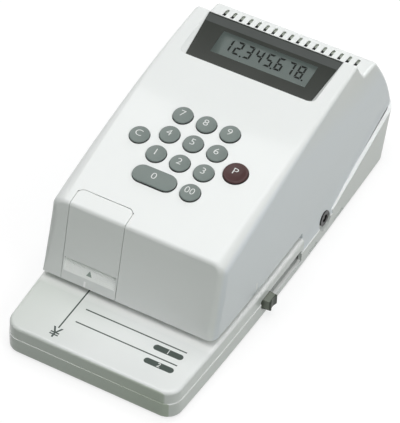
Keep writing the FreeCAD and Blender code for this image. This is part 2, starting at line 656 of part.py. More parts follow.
def print_chassis():
    """Two steel side plates with bent feet, three tie bars and notches for the cassette."""
    left = box(-46.5, -45, 60, 112, 28.6, 58)
    right = box(-11, -9.5, 60, 129, 28.6, 70)
    left = rounded(left, 4.0, lambda b: b.XLength > 1 and b.ZMin > 57)
    right = rounded(right, 5.0, lambda b: b.XLength > 1 and b.ZMin > 69)
    right = right.cut(plate_yz([(112, 20), (140, 20), (140, 42), (122, 42)], -20, 0))
    feet = []
    for y in (63.0, 97.0):
        feet.append(box(-46.5, -38.5, y, y + 10, Z_CEIL + WALL + 0.05, 29.1))
        feet.append(box(-19.0, -9.5, y, y + 10, Z_CEIL + WALL + 0.05, 29.1))
    bars = [cyl_x(2.0, -45.2, -10.8, y, z) for y, z in ((62.6, 33.5), (88.0, 58.0), (110.2, 31.5))]
    chassis = fuse([left, right, box(-46.5, -45, 60, 108, 27.65, 29), box(-11, -9.5, 60, 108, 27.65, 29)]
                   + feet + bars)
    tools = [cyl_x(2.05, -50, 0, TYPE_Y, TYPE_Z), box(-50, 0, 65.6, 78.4, 53.95, 80),
             cyl_x(3.1, -15, 0, MOTOR_Y, MOTOR_Z), cyl_x(1.48, -15, 0, IDLER_Y, IDLER_Z)]
    tools += [cyl_z(1.35, 20, 35, x, y) for x, y in CHASSIS_SCREWS]
    return cut(chassis, tools)


CHASSIS_SCREWS = [(-42.0, 68.0), (-42.0, 102.0), (-15.0, 68.0), (-15.0, 102.0)]


def idler_stud():
    return fuse([cyl_x(1.45, -10.9, -5.4, IDLER_Y, IDLER_Z), cyl_x(2.6, -5.4, -4.4, IDLER_Y, IDLER_Z)])


def idler_gear():
    train = print_train()
    wheel = gear(40, 0.5, 2.6, 1.5)
    wheel = fuse([wheel, cyl_x(3.0, 0, 2.8, 0, 0).cut(cyl_x(1.5, -1, 4, 0, 0))])
    holes = [turned(cyl_x(1.6, -1, 4, 6.0, 0), i * 60, 0, 0, 0) for i in range(6)]
    return turned(cut(wheel, holes), train[1], -8.7, IDLER_Y, IDLER_Z)


def wheel_motor():
    can = chamfered(cyl_x(12.5, -29.5, -11.05, MOTOR_Y, MOTOR_Z), 0.9, lambda b: b.XMax < -29)
    boss = cyl_x(3.0, -11.05, -9.6, MOTOR_Y, MOTOR_Z)
    tabs = [box(-30.6, -29.5, MOTOR_Y - 4, MOTOR_Y - 2, MOTOR_Z - 1, MOTOR_Z + 1),
            box(-30.6, -29.5, MOTOR_Y + 2, MOTOR_Y + 4, MOTOR_Z - 1, MOTOR_Z + 1)]
    return fuse([can, boss] + tabs).cut(cyl_x(1.05, -26, 0, MOTOR_Y, MOTOR_Z))


def wheel_pinion():
    teeth = turned(gear(10, 0.5, 3.0, 0.6), print_train()[2], -8.9, MOTOR_Y, MOTOR_Z)
    return fuse([teeth, cyl_x(1.0, -25, -5.6, MOTOR_Y, MOTOR_Z)])


def ink_core():
    """Spindle of the ink roller with end flanges."""
    return fuse([cyl_x(2.96, -36.2, -19.8, INK_Y, INK_Z), cyl_x(1.5, -39.4, -16.6, INK_Y, INK_Z),
                 cyl_x(4.4, -36.6, -36.2, INK_Y, INK_Z), cyl_x(4.4, -19.8, -19.4, INK_Y, INK_Z)])


def ink_cassette():
    """Lift-out holder of the ink roller; its wings lie in the chassis notches."""
    y, z = INK_Y, INK_Z
    arm = plate_yz([(y - 4.5, z - 4.5), (y + 4.5, z - 4.5), (y + 5.5, 56), (y - 6.0, 56)], 0, 1.5)
    arm = rounded(arm, 2.5, lambda b: b.XLength > 1 and b.ZMax < z - 4)
    parts = [box(-46.3, -9.7, 66, 78, 54.05, 56.0),
             box(-33, -23, 69.5, 71.5, 55.8, 63.5)]
    grip = parts.pop()
    parts.append(rounded(grip, 3.0, lambda b: b.YLength > 1.5 and b.ZMin > 63))
    for x in (-38.6, -18.9):
        piece = arm.copy()
        piece.translate(V(x, 0, 0))
        parts.append(piece)
    return fuse(parts).cut(cyl_x(1.55, -50, 0, y, z))


# ---- hammer under the paper ----------------------------------------------------------
HAMMER = (112.0, 13.0)


def print_hammer():
    y, z = HAMMER
    arm = box(-31, -25, 91, 124, z - 1, z + 1)
    anvil = rounded(box(-30.5, -25.5, 91, 96.4, z, 20.0), 0.8, lambda b: b.ZMin > 19.9)
    armature = rounded(box(-32, -24, 117, 126, z - 1, z + 1), 1.5, lambda b: b.ZLength > 1.9)
    hub = cyl_x(3.0, -32.6, -23.4, y, z)
    return fuse([arm, anvil, armature, hub]).cut(cyl_x(1.55, -40, -10, y, z))


def hammer_coil():
    yoke = box(-34, -22, 116.5, 127.5, 2.45, 3.6)
    bobbin = [cyl_z(5.6, 3.6, 4.4, TYPE_X, 122), cyl_z(5.6, 9.0, 9.7, TYPE_X, 122)]
    return fuse([yoke, cyl_z(4.9, 4.4, 9.0, TYPE_X, 122), cyl_z(2.2, 9.0, 10.5, TYPE_X, 122)] + bobbin)


# ---- paper feed -------------------------------------------------------------------------
def along_y(shape, phase, x, y, z):
    """Stand a piece modelled along +x on +y, after turning it by phase degrees."""
    out = shape.copy()
    turn = Rotation(V(0, 0, 1), 90).multiply(Rotation(V(1, 0, 0), phase))
    out.Placement = Placement(V(x, y, z), turn)
    return out


def feed_phases():
    angle = math.degrees(math.atan2(DRIVE_Z - FEED_Z, FEED_X - DRIVE_X))
    return 0.0, mesh_phase(0.0, 14, 12, angle)


def feed_shaft():
    """Moulded shaft with its gear."""
    teeth = along_y(gear(14, 0.5, 3.0, 1.0), feed_phases()[0], FEED_X, 79.2, FEED_Z)
    return fuse([cyl_y(2.0, 78.4, 108.6, FEED_X, FEED_Z), teeth])


def feed_roller():
    roll = cyl_y(FEED_R, 88, 100, FEED_X, FEED_Z).cut(cyl_y(2.0, 80, 110, FEED_X, FEED_Z))
    grooves = [cyl_y(FEED_R + 1, y, y + 0.6, FEED_X, FEED_Z)
               .cut(cyl_y(FEED_R - 0.4, y - 1, y + 2, FEED_X, FEED_Z)) for y in (90.9, 93.7, 96.5)]
    return cut(roll, grooves)


def feed_motor():
    can = chamfered(cyl_y(7.5, 57.0, 76.0, DRIVE_X, DRIVE_Z), 0.7, lambda b: b.YMax < 57.5)
    boss = cyl_y(2.6, 76.0, 77.4, DRIVE_X, DRIVE_Z)
    return fuse([can, boss]).cut(cyl_y(0.8, 62, 80, DRIVE_X, DRIVE_Z))


def feed_pinion():
    teeth = along_y(gear(12, 0.5, 3.4, 0.4), feed_phases()[1], DRIVE_X, 79.0, DRIVE_Z)
    return fuse([teeth, cyl_y(0.75, 63, 82.4, DRIVE_X, DRIVE_Z)])


def pinch_roller():
    roll = cyl_y(5.0, 88.2, 99.8, FEED_X, PINCH_Z).cut(cyl_y(1.55, 80, 110, FEED_X, PINCH_Z))
    return chamfered(roll, 0.5, lambda b: b.YLength < 0.1 and b.XLength > 9)


def pinch_arm():
    """Fork that carries the pinch roller's axle, with its own pivot rod."""
    dx, dz = FEED_X - ARM_X, PINCH_Z - ARM_Z
    length = math.hypot(dx, dz)
    sides = []
    for y0 in (85.6, 100.8):
        bar = box(0, length, 0, 1.6, -1.9, 1.9)
        bar.Placement = Placement(V(ARM_X, y0, ARM_Z),
                                  Rotation(V(0, 1, 0), -math.degrees(math.atan2(dz, dx))))
        sides += [bar, cyl_y(2.6, y0, y0 + 1.6, FEED_X, PINCH_Z),
                  cyl_y(3.0, y0, y0 + 1.6, ARM_X, ARM_Z)]
    rods = [cyl_y(1.5, 82.2, 105.8, ARM_X, ARM_Z), cyl_y(1.5, 85.6, 102.4, FEED_X, PINCH_Z)]
    bridge = box(13.4, 15.0, 85.6, 102.4, 30.0, 33.4)
    return fuse(sides + rods + [bridge])


def pinch_spring():
    """Torsion spring wound on the pivot rod; its free leg lies on the fork's bridge."""
    turns = [cyl_y(2.7, 89.0 + 1.1 * i, 89.8 + 1.1 * i, ARM_X, ARM_Z) for i in range(9)]
    coil = fuse([cyl_y(2.4, 89.0, 98.6, ARM_X, ARM_Z)] + turns)
    leg = Part.makeCylinder(0.4, 8.6, V(ARM_X - 0.3, 89.4, ARM_Z + 2.2), V(-1, 0, -0.02))
    tail = Part.makeCylinder(0.4, 5.0, V(ARM_X + 2.2, 98.2, ARM_Z), V(0.1, 0, -1))
    return fuse([coil.cut(cyl_y(1.6, 80, 110, ARM_X, ARM_Z)), leg, tail])


# ---- paper guide --------------------------------------------------------------------------
def guide_fence():
    bar = box(-44, 55.6, 103, 109, 21.3, 24.7)
    bar = rounded(bar, 1.4, lambda b: b.ZLength > 3)
    left = [slot_z(-37.3, -34.7, 103.9, 108.1, 16.8, 22), slot_z(-38.4, -33.6, 103.9, 108.1, 16.8, 17.9)]
    right = slot_z(46.4, 49.0, 103.9, 108.1, 12.25, 22)
    return fuse([bar, right] + left)


def guide_knob():
    """Carriage under the deck with the finger knob in the side slot."""
    carriage = box(44, 58.6, 100, 109, 8.6, 12.2)
    wires = []
    for x, d in ((58.2, 0.0), (67.1, 0.6)):
        pts = [V(x, 100.2 + d / 2, 5.5 + d), V(x, 109.2 - d, 5.5 + d), V(x, 109.2 - d, 13.8 - d),
               V(x, 100.2 + d / 2, 13.8 - d)]
        wires.append(Part.makePolygon(pts + pts[:1]))
    knob = rounded(Part.makeLoft(wires, True, True), 0.5, lambda b: b.XMax > 67)
    return fuse([carriage, knob]).cut(cyl_z(6.0, 4, 15, 72.1, 104.6))    # finger dish


# ---- power --------------------------------------------------------------------------------
def dc_jack():
    y, z, r = INLET
    body = fuse([cyl_x(r, 49.0, 61.8, y, z), box(45.5, 51.5, y - 5, y + 5, 7.8, 18.2)])
    body = body.cut(cyl_x(2.75, 51.5, 63, y, z))
    return fuse([body, cyl_x(1.0, 51.0, 61.2, y, z)])


def power_switch():
    knob = rounded(box(-61.6, -57.0, 197, 201.6, 22.75, 25.65), 0.6, lambda b: b.XMax < -61.5)
    grooves = [box(-62, -61.2, y, y + 0.5, 22, 26) for y in (198.0, 199.05, 200.1)]
    return fuse([knob.cut(fuse_raw(grooves)), box(-57.0, -55.6, 194.6, 204.0, 21.6, 26.8)])


def switch_body():
    body = box(-55.2, -48.4, 190.5, 212.2, 20.4, 28.2)
    pins = [box(-48.4, -46.2, y, y + 1.2, 23.5, 24.1) for y in (194.0, 200.6, 207.2)]
    return fuse([body] + pins)


def battery_door():
    x0, x1, y0, y1 = BAY
    y, z = DOOR_AXIS
    plate = box(x0 - 0.8, x1 + 0.8, y0 - 0.8, y, 0.1, 1.4)
    roll = cyl_x(0.65, x0 - 0.8, x1 + 0.8, y, z)
    pins = cyl_x(0.5, x0 - 2.2, x1 + 2.2, y, z)
    grips = [box(-10, 10, y0 + 2 + 1.6 * i, y0 + 2.7 + 1.6 * i, 0, 0.4) for i in range(5)]
    return fuse([plate.cut(fuse_raw(grips)), roll, pins])


def batteries():
    cells = []
    for row, y in enumerate((200.2, 216.8)):
        for start in (-50.9, 0.9):
            can = cyl_x(7.1, start, start + 48.6, y, 10.2)
            can = chamfered(can, 0.7, lambda b: b.XLength < 0.1)
            nub = cyl_x(2.7, start + 48.6, start + 50.0, y, 10.2)
            cell = fuse([can, nub])
            if row:
                cell = cell.mirror(V(start + 25.0, y, 10.2), V(1, 0, 0))
            cells.append(cell)
    return cells


def battery_contacts():
    plates = []
    for y in (200.2, 216.8):
        for s in (-1, 1):
            plates.append(box(*sorted((s * 52.4, s * 52.9)), y - 4.5, y + 4.5, 4.5, 15.5))
    for s, y in ((-1, 200.2), (1, 216.8)):
        plates[(0 if s < 0 else 3)] = fuse([plates[(0 if s < 0 else 3)],
                                            cyl_x(3.2, *sorted((s * 51.3, s * 52.5)), y, 10.2)])
    return plates


# ---- electronics ---------------------------------------------------------------------------
def main_board():
    board = box(-44, 44, 168, 242, 30.0, 31.6)
    return cut(board, [cyl_z(1.35, 20, 40, x, y) for x, y in BOARD_POSTS])


def board_parts():
    """Chips, capacitors and connectors, a hair above the board's face."""
    z = 31.62
    out = []
    for x, y, w, d, h in ((-22, 205, 38, 14, 3.6), (14, 196, 20, 20, 2.4), (14, 224, 18, 7, 3.6),
                          (-24, 184, 9, 20, 3.2), (-6, 184, 9, 14, 3.2), (30, 180, 12, 5, 6.0),
                          (-28, 228, 24, 6, 7.5), (34, 208, 5, 16, 6.0)):
        out.append(chamfered(box(x - w / 2, x + w / 2, y - d / 2, y + d / 2, z, z + h), 0.4,
                             lambda b: b.ZMin > z + h - 0.1))
    for x, y, r, h in ((2, 236, 4.0, 9.0), (14, 236, 4.0, 9.0), (24, 234, 3.2, 7.0),
                       (-40, 190, 2.5, 6.0), (-40, 198, 2.5, 6.0)):
        out.append(chamfered(cyl_z(r, z, z + h, x, y), 0.5, lambda b: b.ZMin > z + h - 0.1))
    return out


def buzzer():
    body = chamfered(cyl_z(6.0, 31.62, 38.0, -8, 222), 0.7, lambda b: b.ZMin > 37.9)
    return body.cut(cyl_z(1.2, 36.0, 40, -8, 222))


def flat_cable():
    path = [(180.0, 32.1), (176.0, 34.5), (160.0, 52.0), (149.0, 74.0), (144.5, 78.6)]
    upper = [(y, z + 0.35) for y, z in path]
    lower = [(y, z - 0.35) for y, z in reversed(path)]
    return plate_yz(upper + lower, 0.5, 22.0)


def inner_screws():
    out = []
    for x, y in CHASSIS_SCREWS:
        out.append(screw(0, 0, 0, 0.0).mirror(V(0, 0, 0), V(0, 0, 1)))
        out[-1].translate(V(x, y, 29.15))
        shank = cyl_z(1.25, Z_CEIL + WALL, 29.3, x, y)
        out[-1] = fuse([out[-1], shank])
    for x, y in BOARD_POSTS:
        pan = screw(0, 0, 0, 7.0).mirror(V(0, 0, 0), V(0, 0, 1))
        pan.translate(V(x, y, 31.65))
        out.append(pan)
    for x, y in KEY_POSTS:
        out.append(on_keys(screw(x, y, -13.25, 6.0, 2.4, 1.5), 0, 0))
    return out


def main():
    walls, outer = housing_walls()
    save("lower_shell", lower_shell())
    save("tray_deck", tray_deck())
    save("top_housing", top_housing(walls, outer))
    save("ink_cover", ink_cover(walls))
    save("display_window", display_window())
    save("lcd_glass", on_lcd(-34, 34, -9.2, 9.2, -2.0, 0))
    save("lcd_holder", lcd_holder())
    save("display_board", on_lcd(-40, 40, -13, 13, -6.7, -5.1))
    for name, col, row in KEYS:
        save(name, on_keys(make_key(name), col, row))
    save("key_mat", key_mat())
    save("key_board", key_board())
    save("type_wheel", type_wheel())
    save("wheel_shaft", cyl_x(2.0, -47.4, -5.2, TYPE_Y, TYPE_Z))
    save("wheel_gear", turned(gear(30, 0.5, 3.0, 2.02), print_train()[0], -8.9, TYPE_Y, TYPE_Z))
    save("idler_gear", idler_gear())
    save("idler_stud", idler_stud())
    save("wheel_motor", wheel_motor())
    save("wheel_pinion", wheel_pinion())
    save("ink_roller", cyl_x(INK_R, -36.1, -19.9, INK_Y, INK_Z).cut(
        cyl_x(3.0, -40, -10, INK_Y, INK_Z)))
    save("ink_spindle", ink_core())
    save("ink_cassette", ink_cassette())
    save("print_chassis", print_chassis())
    save("print_hammer", print_hammer())
    save("hammer_pin", cyl_x(1.48, -36.4, -19.6, *HAMMER))
    save("hammer_coil", hammer_coil())
    save("feed_shaft", feed_shaft())
    save("feed_roller", feed_roller())
    save("feed_motor", feed_motor())
    save("feed_pinion", feed_pinion())
    save("pinch_roller", pinch_roller())
    save("pinch_arm", pinch_arm())
    save("pinch_spring", pinch_spring())
    save("guide_fence", guide_fence())
    save("guide_knob", guide_knob())
    save("dc_jack", dc_jack())
    save("power_switch", power_switch())
    save("switch_body", switch_body())
    save("battery_door", battery_door())
    save("batteries", *batteries())
    save("battery_contacts", *battery_contacts())
    save("main_board", main_board())
    save("board_parts", *board_parts())
    save("buzzer", buzzer())
    save("flat_cable", flat_cable())
    save("rubber_feet", *[cyl_z(6.0, -FOOT, 1.15, x, y) for x, y in FEET])
    save("case_screws", *[screw(x, y, 5.0, 11.5 if y < 100 else 17.0) for x, y in CASE_SCREWS])
    save("inner_screws", *inner_screws())


main()
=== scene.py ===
# %% [markdown]
# # A desk check writer
#
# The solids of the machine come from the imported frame: every housing, key, wheel and
# screw already stands where it belongs, in metres, with the origin under the middle of
# the machine.  This lesson gives those solids their finishes and adds what moulded
# plastic cannot show: printed lines, key legends, the digits of the display, and the
# small repeated parts inside.

# %% Load the frame
import math

import bmesh
import bpy
from mathutils import Matrix, Vector


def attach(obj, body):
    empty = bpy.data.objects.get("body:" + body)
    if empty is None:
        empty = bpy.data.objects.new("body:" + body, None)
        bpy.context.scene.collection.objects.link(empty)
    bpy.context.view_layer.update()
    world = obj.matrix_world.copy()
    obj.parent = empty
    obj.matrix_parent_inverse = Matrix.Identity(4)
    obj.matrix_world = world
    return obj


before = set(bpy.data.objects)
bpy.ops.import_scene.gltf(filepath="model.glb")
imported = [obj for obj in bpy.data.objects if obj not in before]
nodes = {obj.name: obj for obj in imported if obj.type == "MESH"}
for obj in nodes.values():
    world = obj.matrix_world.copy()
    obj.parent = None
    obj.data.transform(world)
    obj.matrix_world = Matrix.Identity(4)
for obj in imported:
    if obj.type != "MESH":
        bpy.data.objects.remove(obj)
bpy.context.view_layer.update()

# %% [markdown]
# ## Places on the machine
#
# The workshop drawing measures from the centre plane and the front edge of the tray, in
# millimetres.  One small function turns such a point into the scene's metres, so that
# every number below can be read off a ruler.

# %% From drawing millimetres to scene metres
MM = 0.001
MIDDLE = Vector((2.1, 137.785, -1.0))


def at(x, y, z):
    return (Vector((x, y, z)) - MIDDLE) * MM


print("front edge of the tray:", tuple(round(v, 4) for v in at(0, 0, 0)))

# %% [markdown]
# ## Writing shader maths like arithmetic
#
# A node tree for a printed line is only sums and comparisons.  The class below wraps an
# output socket and overloads the operators, so `mask * 0.5 + noise` adds the Math nodes.
# A mask is a value of 1 inside and 0 outside; `above` and `below` make one from a place.

# %% The wrapper for sockets
class Wire:
    """An output socket that can be used in an expression."""

    def __init__(self, finish, socket):
        self.finish, self.socket = finish, socket

    def maths(self, operation, *others, clamp=False):
        values = {i: v for i, v in enumerate((self,) + others)}
        return self.finish.node("ShaderNodeMath", values, operation=operation, use_clamp=clamp)

    def __add__(self, other):
        return self.maths("ADD", other)

    def __sub__(self, other):
        return self.maths("SUBTRACT", other)

    def __mul__(self, other):
        return self.maths("MULTIPLY", other)

    def __rsub__(self, other):
        return (self * -1.0).maths("ADD", other)

    __radd__ = __add__
    __rmul__ = __mul__

    def __abs__(self):
        return self.maths("ABSOLUTE")

    def smaller(self, other):
        return self.maths("MINIMUM", other)

    def larger(self, other):
        return self.maths("MAXIMUM", other)

    def fraction(self):
        return self.maths("FRACT")

    def edge(self, width):
        """1 where the value is below zero, 0 above, with a soft step of the given width."""
        return (0.5 - self * (1.0 / width)).maths("ADD", 0.0, clamp=True)

    def above(self, limit, soft):
        return (limit - self).edge(soft)

    def below(self, limit, soft):
        return (self - limit).edge(soft)


# %% [markdown]
# ## One class for every finish
#
# Each finish is one Principled shader.  Its constants are set on the shader's own
# sockets, and what varies over the surface is linked to them.  The patterns are measured
# in Object coordinates, so they stay on a piece when it moves.

# %% The material class
class Finish:
    """One material, built around a Principled shader."""

    def __init__(self, name, color, rough=0.4, **sockets):
        self.material = bpy.data.materials.new(name)
        self.material.use_nodes = True
        self.tree = self.material.node_tree
        self.shader = self.tree.nodes["Principled BSDF"]
        self.put("Base Color", (*color[:3], 1.0))
        self.put("Roughness", rough)
        for label, value in sockets.items():
            self.put(label.replace("_", " "), value)
        self.coords = None

    def put(self, label, value):
        """Set a socket of the shader to a constant, or link a wire to it."""
        socket = self.shader.inputs[label]
        if isinstance(value, Wire):
            self.tree.links.new(value.socket, socket)
        else:
            socket.default_value = value

    def node(self, kind, values=None, output=0, **settings):
        """Add a node by its type, its socket values and its settings."""
        made = self.tree.nodes.new(kind)
        for label, value in settings.items():
            setattr(made, label, value)
        for label, value in (values or {}).items():
            if isinstance(value, Wire):
                self.tree.links.new(value.socket, made.inputs[label])
            else:
                made.inputs[label].default_value = value
        return Wire(self, made.outputs[output])

    def place(self):
        """Object coordinates in drawing millimetres, as x, y and z values."""
        if self.coords is None:
            self.vector = self.node("ShaderNodeTexCoord", output=3)
            owner = self.node("ShaderNodeSeparateXYZ", {0: self.vector}).socket.node
            self.coords = [Wire(self, owner.outputs[i]) * 1000.0 + MIDDLE[i] for i in range(3)]
        return self.coords

    def noise(self, scale, detail=2.0, rough=0.5, stretch=None):
        self.place()
        vector = self.vector
        if stretch:
            vector = self.node("ShaderNodeMapping", {"Vector": vector, "Scale": stretch})
        return self.node("ShaderNodeTexNoise", {"Vector": vector, "Scale": scale,
                                                "Detail": detail, "Roughness": rough})

    def tint(self, mask, under, over):
        """Mix two colours, or wires, by a mask."""
        values = {0: mask, 6: under if isinstance(under, Wire) else (*under[:3], 1.0),
                  7: over if isinstance(over, Wire) else (*over[:3], 1.0)}
        return self.node("ShaderNodeMix", values, output=2, data_type="RGBA")

    def mottled(self, cloud, color, low, high):
        """A colour that wanders between two shades of itself."""
        return self.tint(cloud, [c * low for c in color], [min(1, c * high) for c in color])

    def bump(self, height, strength, distance=0.0002):
        self.put("Normal", self.node("ShaderNodeBump", {"Height": height, "Strength": strength,
                                                        "Distance": distance}))


def wear(finish, object_names):
    """Put a finish on CAD pieces."""
    for name in object_names:
        mesh = nodes[name].data
        mesh.materials.clear()
        mesh.materials.append(finish.material)
    print(finish.material.name, "on", len(object_names), "pieces")


# %% [markdown]
# ## The white housing plastic
#
# The case is injection-moulded ABS in a cool white with a fine satin grain.  The grain is
# a very fine noise in the bump, and a much larger, very faint noise shifts the tone and
# the roughness, as handling and ageing do.  A thin coat gives the crisp gloss, while the
# low specular level keeps the pale room from washing the walls out.  One function gives
# the plastic, so that the tray, the housing and the flap can each add their own marks.

# %% White plastic
WHITE = (0.79, 0.812, 0.797)
INK = (0.055, 0.075, 0.065)
SLOT_SHADE = (0.010, 0.012, 0.010)


def white_plastic(name, color=WHITE):
    finish = Finish(name, color, rough=0.32, Coat_Roughness=0.07, Specular_IOR_Level=0.2)
    finish.base = finish.mottled(finish.noise(18.0, 3.0), color, 0.985, 1.015)
    finish.put("Roughness", finish.noise(45.0, 2.0) * 0.10 + 0.27)
    finish.put("Coat Weight", finish.noise(30.0, 2.0) * 0.12 + 0.42)
    finish.bump(finish.noise(2600.0, 2.0), 0.06, 0.00006)
    return finish


# %% [markdown]
# ## Marks on the plastic
#
# Printed lines and pills are masks in drawing millimetres, laid over the plastic's colour
# one after the other.  That keeps their edges sharp at any distance, and needs no image.

# %% Masks and ink
def inked(finish, mask, color=INK):
    """Print on top of whatever colour the finish has so far."""
    finish.base = finish.tint(mask, finish.base, color)


def bar(finish, x0, x1, y0, y1, axes=(0, 1), soft=0.12):
    """Mask of a rectangle in drawing millimetres."""
    place = finish.place()
    a, b = place[axes[0]], place[axes[1]]
    across = abs(a - (x0 + x1) / 2) - (x1 - x0) / 2
    along = abs(b - (y0 + y1) / 2) - (y1 - y0) / 2
    return across.larger(along).edge(soft)


def capsule(finish, xc, yc, length, width, soft=0.15):
    """Mask of a bar with round ends, seen from above."""
    x, y, z = finish.place()
    over = (abs(x - xc) - (length - width) / 2).larger(0.0)
    aside = y - yc
    distance = (over * over + aside * aside).maths("SQRT") - width / 2
    return distance.edge(soft)


def finished(finish, object_names):
    """Hand the collected colour to the shader and dress the pieces."""
    finish.put("Base Color", finish.base)
    wear(finish, object_names)


# %% [markdown]
# ## The tray
#
# The flat table in front carries two thin guide lines, a longer one at right angles to
# them, and two dark pills.  Its white is painted with shade that falls off a little to
# the left rear, its front face is painted darker than the deck as shade, and its right
# side and the strip under the nose are painted lighter as light.  Lamps could give such
# tones, but would change the other pieces as well, so they are soft masks of painted
# shade and light under the ink.

# %% Tray, its tone and its printed lines
Z_DECK = 20.8                                       # top face of the tray
GUIDE_LINES = ((-21.4, 46.9, 33.65, 34.55), (-21.6, 46.9, 22.15, 23.05),
               (-28.0, -27.1, 13.2, 60.0))
PILLS = ((37.3, 29.2), (37.5, 17.6))
PILL_LENGTH, PILL_WIDTH = 19.5, 4.3
# Painted shade for the front faces of the tray and the shell.
SHADED_FRONT = (0.52, 0.58, 0.49)

tray = white_plastic("white_plastic_tray")
x, y, z = tray.place()
deck = z.above(19.5, 0.4)
front_face = y.below(0.9, 0.4) * x.above(-10.0, 130.0)
# Painted shade to the left rear and on the front face; painted light on the right side and under
# the nose.
for mask, color in (((x * 0.75 - y * 0.35 + 34.0).edge(60.0) * deck * 0.9, (0.63, 0.672, 0.62)),
                    (front_face, SHADED_FRONT),
                    (x.above(63.2, 0.4) * z.below(19.0, 0.4), (0.95, 0.97, 1.0)),
                    (y.above(42.0, 4.0) * deck * 0.6, (0.97, 0.98, 0.96))):
    inked(tray, mask, color)
on_top = z.above(Z_DECK - 0.4, 0.1)
for line in GUIDE_LINES:
    inked(tray, bar(tray, *line) * on_top)
for pill in PILLS:
    inked(tray, capsule(tray, *pill, PILL_LENGTH, PILL_WIDTH) * on_top)
finished(tray, ["tray_deck"])

# %% [markdown]
# ## The housing
#
# Its right wall is painted a cooler tint than its top, as painted light on that side, and a
# short light tick is printed low on it.  The slots behind the display are real openings,
# and the shade inside them could be left to the lamps.  Here the walls inside the slots,
# and only those, get painted shade as well, dark in the front part and grey in the rear,
# so that the row reads from afar.

# %% Housing
SIDE_TICK = (93.9, 95.1, 26.6, 32.0)
VENT_Y, VENT_HALF, VENT_ENDS = 242.8, 6.6, 54.0     # the row of slots
VENT_SHADE_END = 245.5
SHELF_Z, SHELF_FALL = 98.17, 0.054                  # the surface that the slots are cut in

housing = white_plastic("white_plastic_housing")
x, y, z = housing.place()
# Painted light: a cooler tint on the right wall, for the light that falls on that side.
inked(housing, x.above(57.0, 2.0), (0.795, 0.835, 0.875))
inked(housing, bar(housing, *SIDE_TICK, axes=(1, 2)), (0.95, 0.96, 0.96))
# Painted shade inside the slots: near black in the front part, grey in the rear.
in_row = (abs(y - VENT_Y) - VENT_HALF).larger(z - (SHELF_Z - y * SHELF_FALL))
inside_slots = in_row.larger(abs(x) - VENT_ENDS).larger(60.0 - z)
painted_slot_shade = housing.tint(y.below(VENT_SHADE_END, 0.4), (0.42, 0.45, 0.40), SLOT_SHADE)
inked(housing, inside_slots.edge(0.2), painted_slot_shade)
finished(housing, ["top_housing"])

# %% [markdown]
# ## The lower shell
#
# The rim of the shell is painted light all along, as a painted highlight.  It is level
# over the front two thirds and rises towards the rear, so one height as a function of y
# is enough for its mask.  The ledge in the guide's slot is painted light too, and so is
# the right side near the front, while the front face gets the same painted shade as the
# tray's.

# %% Lower shell and battery door
SEAM_BEND = 189.0                                   # where the seam starts to rise
SEAM_RISE = 23.8 / 87.0
SLOT_LEDGE = (98.2, 147.8, 4.9, 7.6)

shell = white_plastic("white_plastic_shell", (0.74, 0.765, 0.745))
x, y, z = shell.place()
seam = (y - SEAM_BEND).larger(0.0) * SEAM_RISE + y.below(SEAM_BEND, 0.1) * -3.0 + 14.5
slot_ledge = bar(shell, *SLOT_LEDGE, axes=(1, 2)) * x.above(54.5, 0.3) * x.below(62.2, 0.3)
# Painted highlight on the rim, painted light on the slot's ledge and the right side, painted shade
# on the front face.
for mask, color in (((seam - 0.55 - z).edge(0.15), (0.97, 0.98, 0.97)),
                    (slot_ledge, (0.98, 0.99, 0.97)),
                    (y.below(1.6, 0.4) * x.above(-10.0, 130.0), SHADED_FRONT),
                    (x.above(62.4, 0.4) * y.below(44.0, 1.0), (0.93, 0.95, 0.98))):
    inked(shell, mask, color)
finished(shell, ["lower_shell", "battery_door"])

# %% [markdown]
# ## The ink flap
#
# The flap is cut from the same wall as the nose.  Its finger pull faces up, and is painted
# as a lighter band for the light it catches; a small triangle is in it, and a short light
# tick stands below.  The triangle is the one mark here with a sloping side: its half width
# shrinks with the height above its base.

# %% Ink flap
FLAP_MIDDLE = -27.4
TRIANGLE_BASE, TRIANGLE_HALF, TRIANGLE_HEIGHT = 33.4, 1.9, 3.2
PULL_BAND = (-44.5, -9.3, 31.5, 41.2)
FLAP_TICK = (-30.0, -28.7, 25.4, 29.4)

flap = white_plastic("white_plastic_flap")
x, y, z = flap.place()
height = z - TRIANGLE_BASE
side = abs(x - FLAP_MIDDLE) - (1.0 - height * (1 / TRIANGLE_HEIGHT)) * TRIANGLE_HALF
# Painted light on the upward-facing finger pull.
inked(flap, bar(flap, *PULL_BAND, axes=(0, 2), soft=0.3), (0.90, 0.92, 0.90))
inked(flap, (0.0 - height).larger(side).edge(0.15), (0.30, 0.36, 0.32))
inked(flap, bar(flap, *FLAP_TICK, axes=(0, 2)), (1.0, 1.0, 1.0))
finished(flap, ["ink_cover"])

# %% [markdown]
# ## Keys
#
# The caps are grey-green ABS with a slightly softer sheen than the case; the print key
# is dark maroon.  The skirt of each cap, where it sinks into the housing, is painted dark
# as shade.  The keys stand on one tilted plane, so the depth below their tops is measured
# along that plane's normal, and everything deeper than the rim gets the painted dark shade.

# %% Key plastics
KEY_TILT = math.radians(10.0)
KEY_Y, KEY_Z = 108.2, 89.1                          # a point on the plane of the key tops


def key_plastic(name, color):
    finish = Finish(name, color, rough=0.35, Specular_IOR_Level=0.35)
    x, y, z = finish.place()
    depth = (z - KEY_Z) * math.cos(KEY_TILT) - (y - KEY_Y) * math.sin(KEY_TILT)
    tone = finish.mottled(finish.noise(120.0, 3.0), color, 0.93, 1.07)
    shaded = [c * 0.16 for c in color]
    # Painted shade on the skirt below the rim.
    finish.put("Base Color", finish.tint(depth.below(-0.70, 0.25), tone, shaded))
    finish.put("Roughness", finish.noise(220.0) * 0.12 + 0.40)
    finish.put("Coat Weight", finish.noise(60.0) * 0.06 + 0.04)
    finish.bump(finish.noise(3200.0), 0.08, 0.00005)
    return finish


